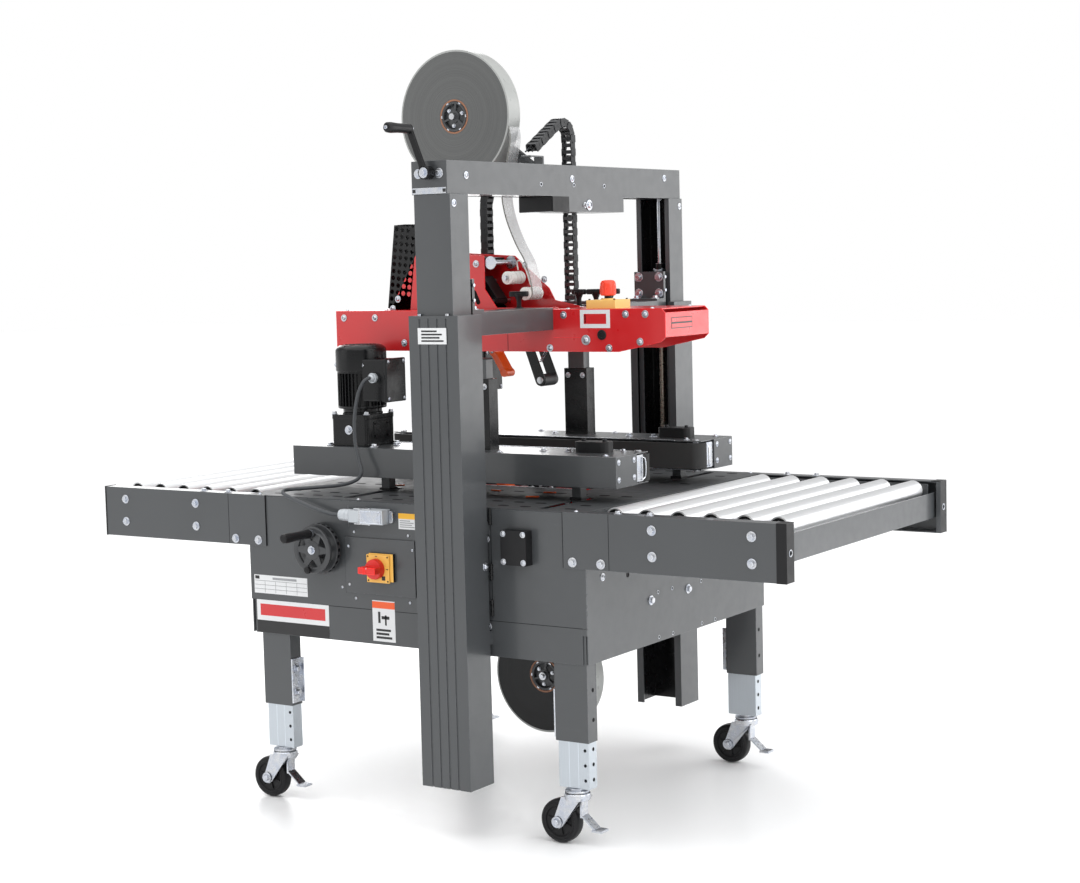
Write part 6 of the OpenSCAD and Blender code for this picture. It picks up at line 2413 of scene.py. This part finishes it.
@dataclass
class BeltUnit(SidePart):
    """One side belt unit: its housing, belt, pulleys and posts."""

    low_z: float = 0.787
    high_z: float = 0.859
    drive_x: float = -0.43
    idler_x: float = 0.452
    belt_y: float = 0.139

    def build(self) -> None:
        """Makes the unit."""
        s = self.side
        pad = Zone(BLACK_PLASTIC, (0.322, s * 0.17, 0.8592), (0.414, s * 0.218, 0.9))
        guide = Zone(ZINC, (-0.39, s * 0.124, 0.7905), (0.41, s * 0.154, 0.8555))
        column = Zone(BLACK_PAINT, (0.038, s * 0.198, 0.8592), (0.109, s * 0.24, 1.0282))
        dress(
            f"{self.name}_unit_housing", f"{self.name}_belt_unit", PAINT, self.body, "body_paint",
            [pad, guide, column], 0.0014,
        )
        self.fittings()
        self.belt()
        for kind, x in (("drive", self.drive_x), ("idler", self.idler_x)):
            self.pulley(kind, x)

    def fittings(self) -> None:
        """Adds the housing's screws, the chrome nose strip and the belt's tensioner."""
        s = self.side
        shape = Fasteners(f"{self.name}_unit_fittings")
        out = (0.0, float(s), 0.0)
        for z in (0.806, 0.846):
            for y in (0.2, 0.268):
                shape.screw((0.477, s * y, z), (1, 0, 0), 0.0045, Screw.BUTTON)
                shape.screw((-0.461, s * y, z), (-1, 0, 0), 0.0045, Screw.BUTTON)
        shape.grid(((-0.2, 0.01, 0.23, 0.3), s * 0.198, self.high_z), (0, 0, 1), 0.0062)
        shape.grid(((-0.225, -0.075, 0.15, 0.44), s * 0.262, self.high_z), (0, 0, 1), 0.005, Screw.BUTTON)
        for x in (self.drive_x, self.idler_x):
            shape.screw((x + 0.032 * (1 if x < 0 else -1), s * 0.15, self.high_z), (0, 0, 1), 0.005)
        shape.box(CHROME, (-0.38, s * 0.1262, 0.8575), (0.4, s * 0.1285, 0.86), 0.0004)
        shape.grid(((0.34, 0.396), s * 0.194, 0.885), (0, 0, 1), 0.005, Screw.SOCKET, DARK_PIN, washer=0.0)
        shape.box(ZINC, (0.47, s * 0.15, 0.7925), (0.4735, s * 0.186, 0.8535), 0.0008)
        wire = spline(
            (
                (0.4755, s * 0.157, 0.848), (0.479, s * 0.153, 0.842), (0.48, s * 0.152, 0.822),
                (0.479, s * 0.154, 0.803), (0.4755, s * 0.16, 0.797),
            ),
            5,
        )
        shape.tube(CHROME, wire, 0.0016, 8)
        for x in (-0.2, 0.35):
            for dx in (-0.016, 0.016):
                shape.screw((x + dx, s * 0.2585, 0.716), out, 0.005, washer=0.0)
            shape.box(BLACK_PLASTIC, (x - 0.0155, s * 0.2185, 0.7535), (x + 0.0155, s * 0.2515, 0.76), 0.001)
        for x in (0.052, 0.095):
            for face in (0.2, 0.238):
                shape.screw((x, s * face, 1.01), (0, copysign(1.0, face - 0.22) * s, 0), 0.0046, Screw.BUTTON)
        shape.box(BLACK_PLASTIC, (0.0492, s * 0.2032, 1.0735), (0.0978, s * 0.2328, 1.0765), 0.001)
        shape.build(self.body, "zinc", smooth=40.0)

    def belt(self) -> None:
        """Makes the belt loop, ribbed inside and with a grip pattern outside."""
        shape = Shape(f"{self.name}_belt_loop")
        outer, inner = 0.026, 0.0224
        low, high = self.low_z + 0.0045, self.low_z + 0.0675
        place = Matrix.Translation((0.0, self.side * self.belt_y, 0.0))
        for radius, facing in ((outer, 1), (inner, -1)):
            loop = self.loop(radius)
            bottom = [
                shape.mesh.verts.new(place @ Vector((x, y, low + (0.0006 if facing > 0 else 0))))
                for x, y in loop
            ]
            top = [
                shape.mesh.verts.new(place @ Vector((x, y, high - (0.0006 if facing > 0 else 0))))
                for x, y in loop
            ]
            faces = [
                shape.mesh.faces.new(
                    (bottom[i], bottom[(i + 1) % len(loop)], top[(i + 1) % len(loop)], top[i])[::facing]
                )
                for i in range(len(loop))
            ]
            shape.take(faces, BELT)
            if facing > 0:
                rim = (bottom, top)
            else:
                for a, b, order in ((rim[0], bottom, -1), (rim[1], top, 1)):
                    edge = [
                        shape.mesh.faces.new((a[i], a[(i + 1) % len(loop)], b[(i + 1) % len(loop)], b[i])[::order])
                        for i in range(len(loop))
                    ]
                    shape.take(edge, RUBBER)
        shape.build(self.body, "belt_rubber", [f"{self.name}_belt"], smooth=35.0)

    def loop(self, radius: float) -> list[tuple[float, float]]:
        """The belt's line around both pulleys."""
        return arc((self.idler_x, 0.0), radius, -90.0, 90.0, 20) + arc((self.drive_x, 0.0), radius, 90.0, 270.0, 20)

    def pulley(self, kind: str, x: float) -> None:
        """Makes one pulley with its flanges and shaft.

        Args:
            kind: drive or idler.
            x: Where its shaft stands.
        """
        node = f"{self.name}_{kind}_pulley"
        shape = Shape(f"{node}_drum")
        profile = [
            (0.0, -0.003), (
                0.0072, -0.003,
            ), (0.008, -0.0022), (0.008, 0.005), (0.0125, 0.0055), (0.0215, 0.0055), (0.022, 0.0062),
            (0.022, 0.0658), (
                0.0215, 0.0665,
            ), (0.0125, 0.0665), (0.008, 0.067), (0.008, 0.0742), (0.0072, 0.075), (0.0, 0.075),
        ]
        shape.lathe(STEEL, profile, (x, self.side * self.belt_y, self.low_z), (0, 0, 1), 40)
        shape.lathe(BLACK_PAINT, disc(0.003, 0.0002), (x, self.side * self.belt_y, self.low_z + 0.075), (0, 0, 1), 12)
        key = self.side * self.belt_y
        shape.box(
            DARK_PIN, (x + 0.0035, key - 0.0012, self.high_z + 0.0008),
            (x + 0.0078, key + 0.0012, self.high_z + 0.0029), 0.0002,
        )
        shape.build(node, "steel", [node], smooth=40.0)


@dataclass
class Motor(SidePart):
    """One gear motor: gearbox, finned housing, fan cowl and terminal box."""

    x: float = -0.3
    y: float = 0.2
    foot: float = 0.859

    def build(self) -> None:
        """Makes the motor."""
        s = self.side
        shape = Fasteners(f"{self.name}_gear_motor")
        at = (self.x, s * self.y)
        half = 0.0575
        self.gearbox(shape, at, half)
        axis = (0, 0, 1)
        place = (at[0], at[1], 0.0)
        shape.lathe(
            BLACK_PAINT,
            [
                (0.0, 0.937), (0.05, 0.937), (0.05, 0.94), (0.048, 0.942), (0.048, 0.949), (0.059, 0.951),
                (0.06, 0.953), (0.06, 0.957), (0.0, 0.957),
            ],
            place, axis, 56,
        )
        shape.lathe(BLACK_PAINT, disc(0.054, 1.041, 0.955), place, axis, 48)
        for k in range(36):
            turn = turned((at[0], at[1], 0.957), 10 * k + 5, "Z")
            shape.prism(
                BLACK_PAINT, [(0.053, -0.0013), (0.06, -0.0009), (0.06, 0.0009), (0.053, 0.0013)], turn, 0.083,
                0.0,
            )
        cowl = [
            (0.0, 1.038), (0.06, 1.038), (0.06, 1.0425), (0.0622, 1.043), (0.063, 1.0445), (0.063, 1.093), (
                0.0618, 1.0975,
            ), (0.0585, 1.1015), (0.052, 1.1055),
            (0.048, 1.1068), (0.0, 1.1068),
        ]
        shape.lathe(BLACK_PAINT, cowl, place, axis, 56)
        for ring in range(4):
            shape.ring(BLACK_PAINT, (at[0], at[1], 1.1066), axis, 0.012 + 0.0095 * ring, 0.0009, 40)
        for k in range(24):
            turn = turned((at[0], at[1], 1.1062), 15 * k, "Z")
            shape.prism(HOLE, [(0.014, -0.001), (0.044, -0.003), (0.044, 0.003), (0.014, 0.001)], turn, 0.0008, 0.0)
        for k in range(4):
            a = radians(45 + 90 * k)
            out = (cos(a), sin(a), 0.0)
            shape.screw((at[0] + 0.063 * out[0], at[1] + 0.063 * out[1], 1.058), out, 0.0038, Screw.BUTTON)
            shape.screw(
                (at[0] + 0.07 * out[0], at[1] + 0.07 * out[1], self.foot + 0.078), (0, 0, 1), 0.0055,
                Screw.SOCKET,
            )
        self.terminal_box(shape, s)
        self.gland(shape, s)
        shape.build(self.body, "black_metal", [f"{self.name}_motor"], smooth=35.0)

    def gearbox(self, shape: Fasteners, at: Point, half: float) -> None:
        """Adds the gearbox with its parting flange, side covers and foot screws.

        Args:
            shape: The mesh it joins.
            at: The motor's axis.
            half: Half the gearbox's width.
        """
        x, y = at
        body = rounded_outline((x - half + 0.0015, y - half + 0.0015), (x + half - 0.0015, y + half - 0.0015), 0.01)
        shape.prism(BLACK_PAINT, body, Matrix.Translation((0, 0, self.foot)), 0.07, 0.0015)
        rim = rounded_outline((x - half, y - half), (x + half, y + half), 0.012)
        shape.prism(BLACK_PAINT, rim, Matrix.Translation((0, 0, self.foot + 0.066)), 0.012, 0.0015)
        shape.prism(BLACK_PAINT, rim, Matrix.Translation((0, 0, self.foot)), 0.006, 0.0012)
        for s in (-1, 1):
            low, high = sorted((x + s * (half - 0.003), x + s * half))
            shape.box(BLACK_PAINT, (low, y - 0.03, self.foot + 0.018), (high, y + 0.03, self.foot + 0.06), 0.0012)
            for dy in (-0.024, 0.024):
                for dz in (0.024, 0.054):
                    shape.screw(
                        (x + s * half, y + dy, self.foot + dz), (s, 0, 0), 0.0026, Screw.SOCKET, DARK_PIN,
                        washer=0.0,
                    )
            for dy in (-0.046, 0.046):
                shape.screw((x + s * 0.068, y + dy, self.foot), (0, 0, 1), 0.0068)
        outward = copysign(1.0, y)
        shape.screw((x, y + outward * half, self.foot + 0.04), (0, outward, 0), 0.0075)

    @staticmethod
    def terminal_box(shape: Fasteners, s: int) -> None:
        """Adds the terminal box with its lid and screws."""
        shape.box(BLACK_PAINT, (-0.262, s * 0.1745, 0.97), (-0.192, s * 0.248, 1.073), 0.004)
        shape.box(BLACK_PAINT, (-0.1935, s * 0.173, 0.968), (-0.184, s * 0.25, 1.075), 0.003)
        for y_at in (0.181, 0.242):
            shape.grid((-0.184, s * y_at, (0.976, 1.067)), (1, 0, 0), 0.0038, Screw.BUTTON, washer=1.2)
        shape.box(BLACK_PAINT, (-0.266, s * 0.168, 0.985), (-0.246, s * 0.235, 1.035), 0.002)

    @staticmethod
    def gland(shape: Fasteners, s: int) -> None:
        """Adds the cord's gland, a hexagon nut under a ribbed dome."""
        place = (-0.223, s * 0.248, 1.028)
        profile = [
            (0.0, 0.0), (0.0108, 0.0), (0.0108, 0.0095), (0.0124, 0.01), (0.0124, 0.0102), (0.0098, 0.0105),
            (0.0096, 0.014), (0.0084, 0.0168), (0.0052, 0.0198), (0.0, 0.0198),
        ]
        shape.lathe(PALE_METAL, profile, place, (0, s, 0), 30)
        hexagon = arc((0.0, 0.0), 0.0128, 0, 300, 5)
        shape.prism(PALE_METAL, hexagon, aimed((-0.223, s * 0.25, 1.028), (0, s, 0)), 0.0078, 0.0008)


# ---------------------------------------------------------------- build


def main() -> None:
    """Builds the machine piece by piece and reports it."""
    logging.basicConfig(level=logging.INFO, format="%(message)s")
    Studio().build()
    MotorCord().build()
    Bed().build()
    for name, sign in (("infeed", 1), ("exit", -1)):
        Conveyor(name, sign).build()
    Axles().build()
    Legs().build()
    for key, x, side in (("fl", -0.412, -1), ("fr", 0.436, -1), ("rl", -0.412, 1), ("rr", 0.436, 1)):
        Caster(key, x, side).build()
    Mast().build()
    Controls().build()
    UpperHead().build()
    for node, x, low in (
        (
            "upper_apply_arm", 0.117, False,
        ), ("upper_buff_arm", -0.111, False), ("lower_apply_arm", 0.117, True), ("lower_buff_arm", -0.111, True),
    ):
        TapingArm(node, x, low).build()
    KnifeGuard().build()
    LowerHead().build()
    TapeRoll("upper_tape_roll", -0.121, 1.662, 0.326, UPPER_TAPE).build()
    TapeRoll("lower_tape_roll", 0.104, 0.28, 0.284, SHADED_LOWER_TAPE).build()
    TapeWeb().build()
    chains()
    for name, side in (("front", -1), ("rear", 1)):
        BeltUnit(name, side).build()
        Motor(name, side).build()
    settle_normals(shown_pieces())


if __name__ == "__main__":
    main()
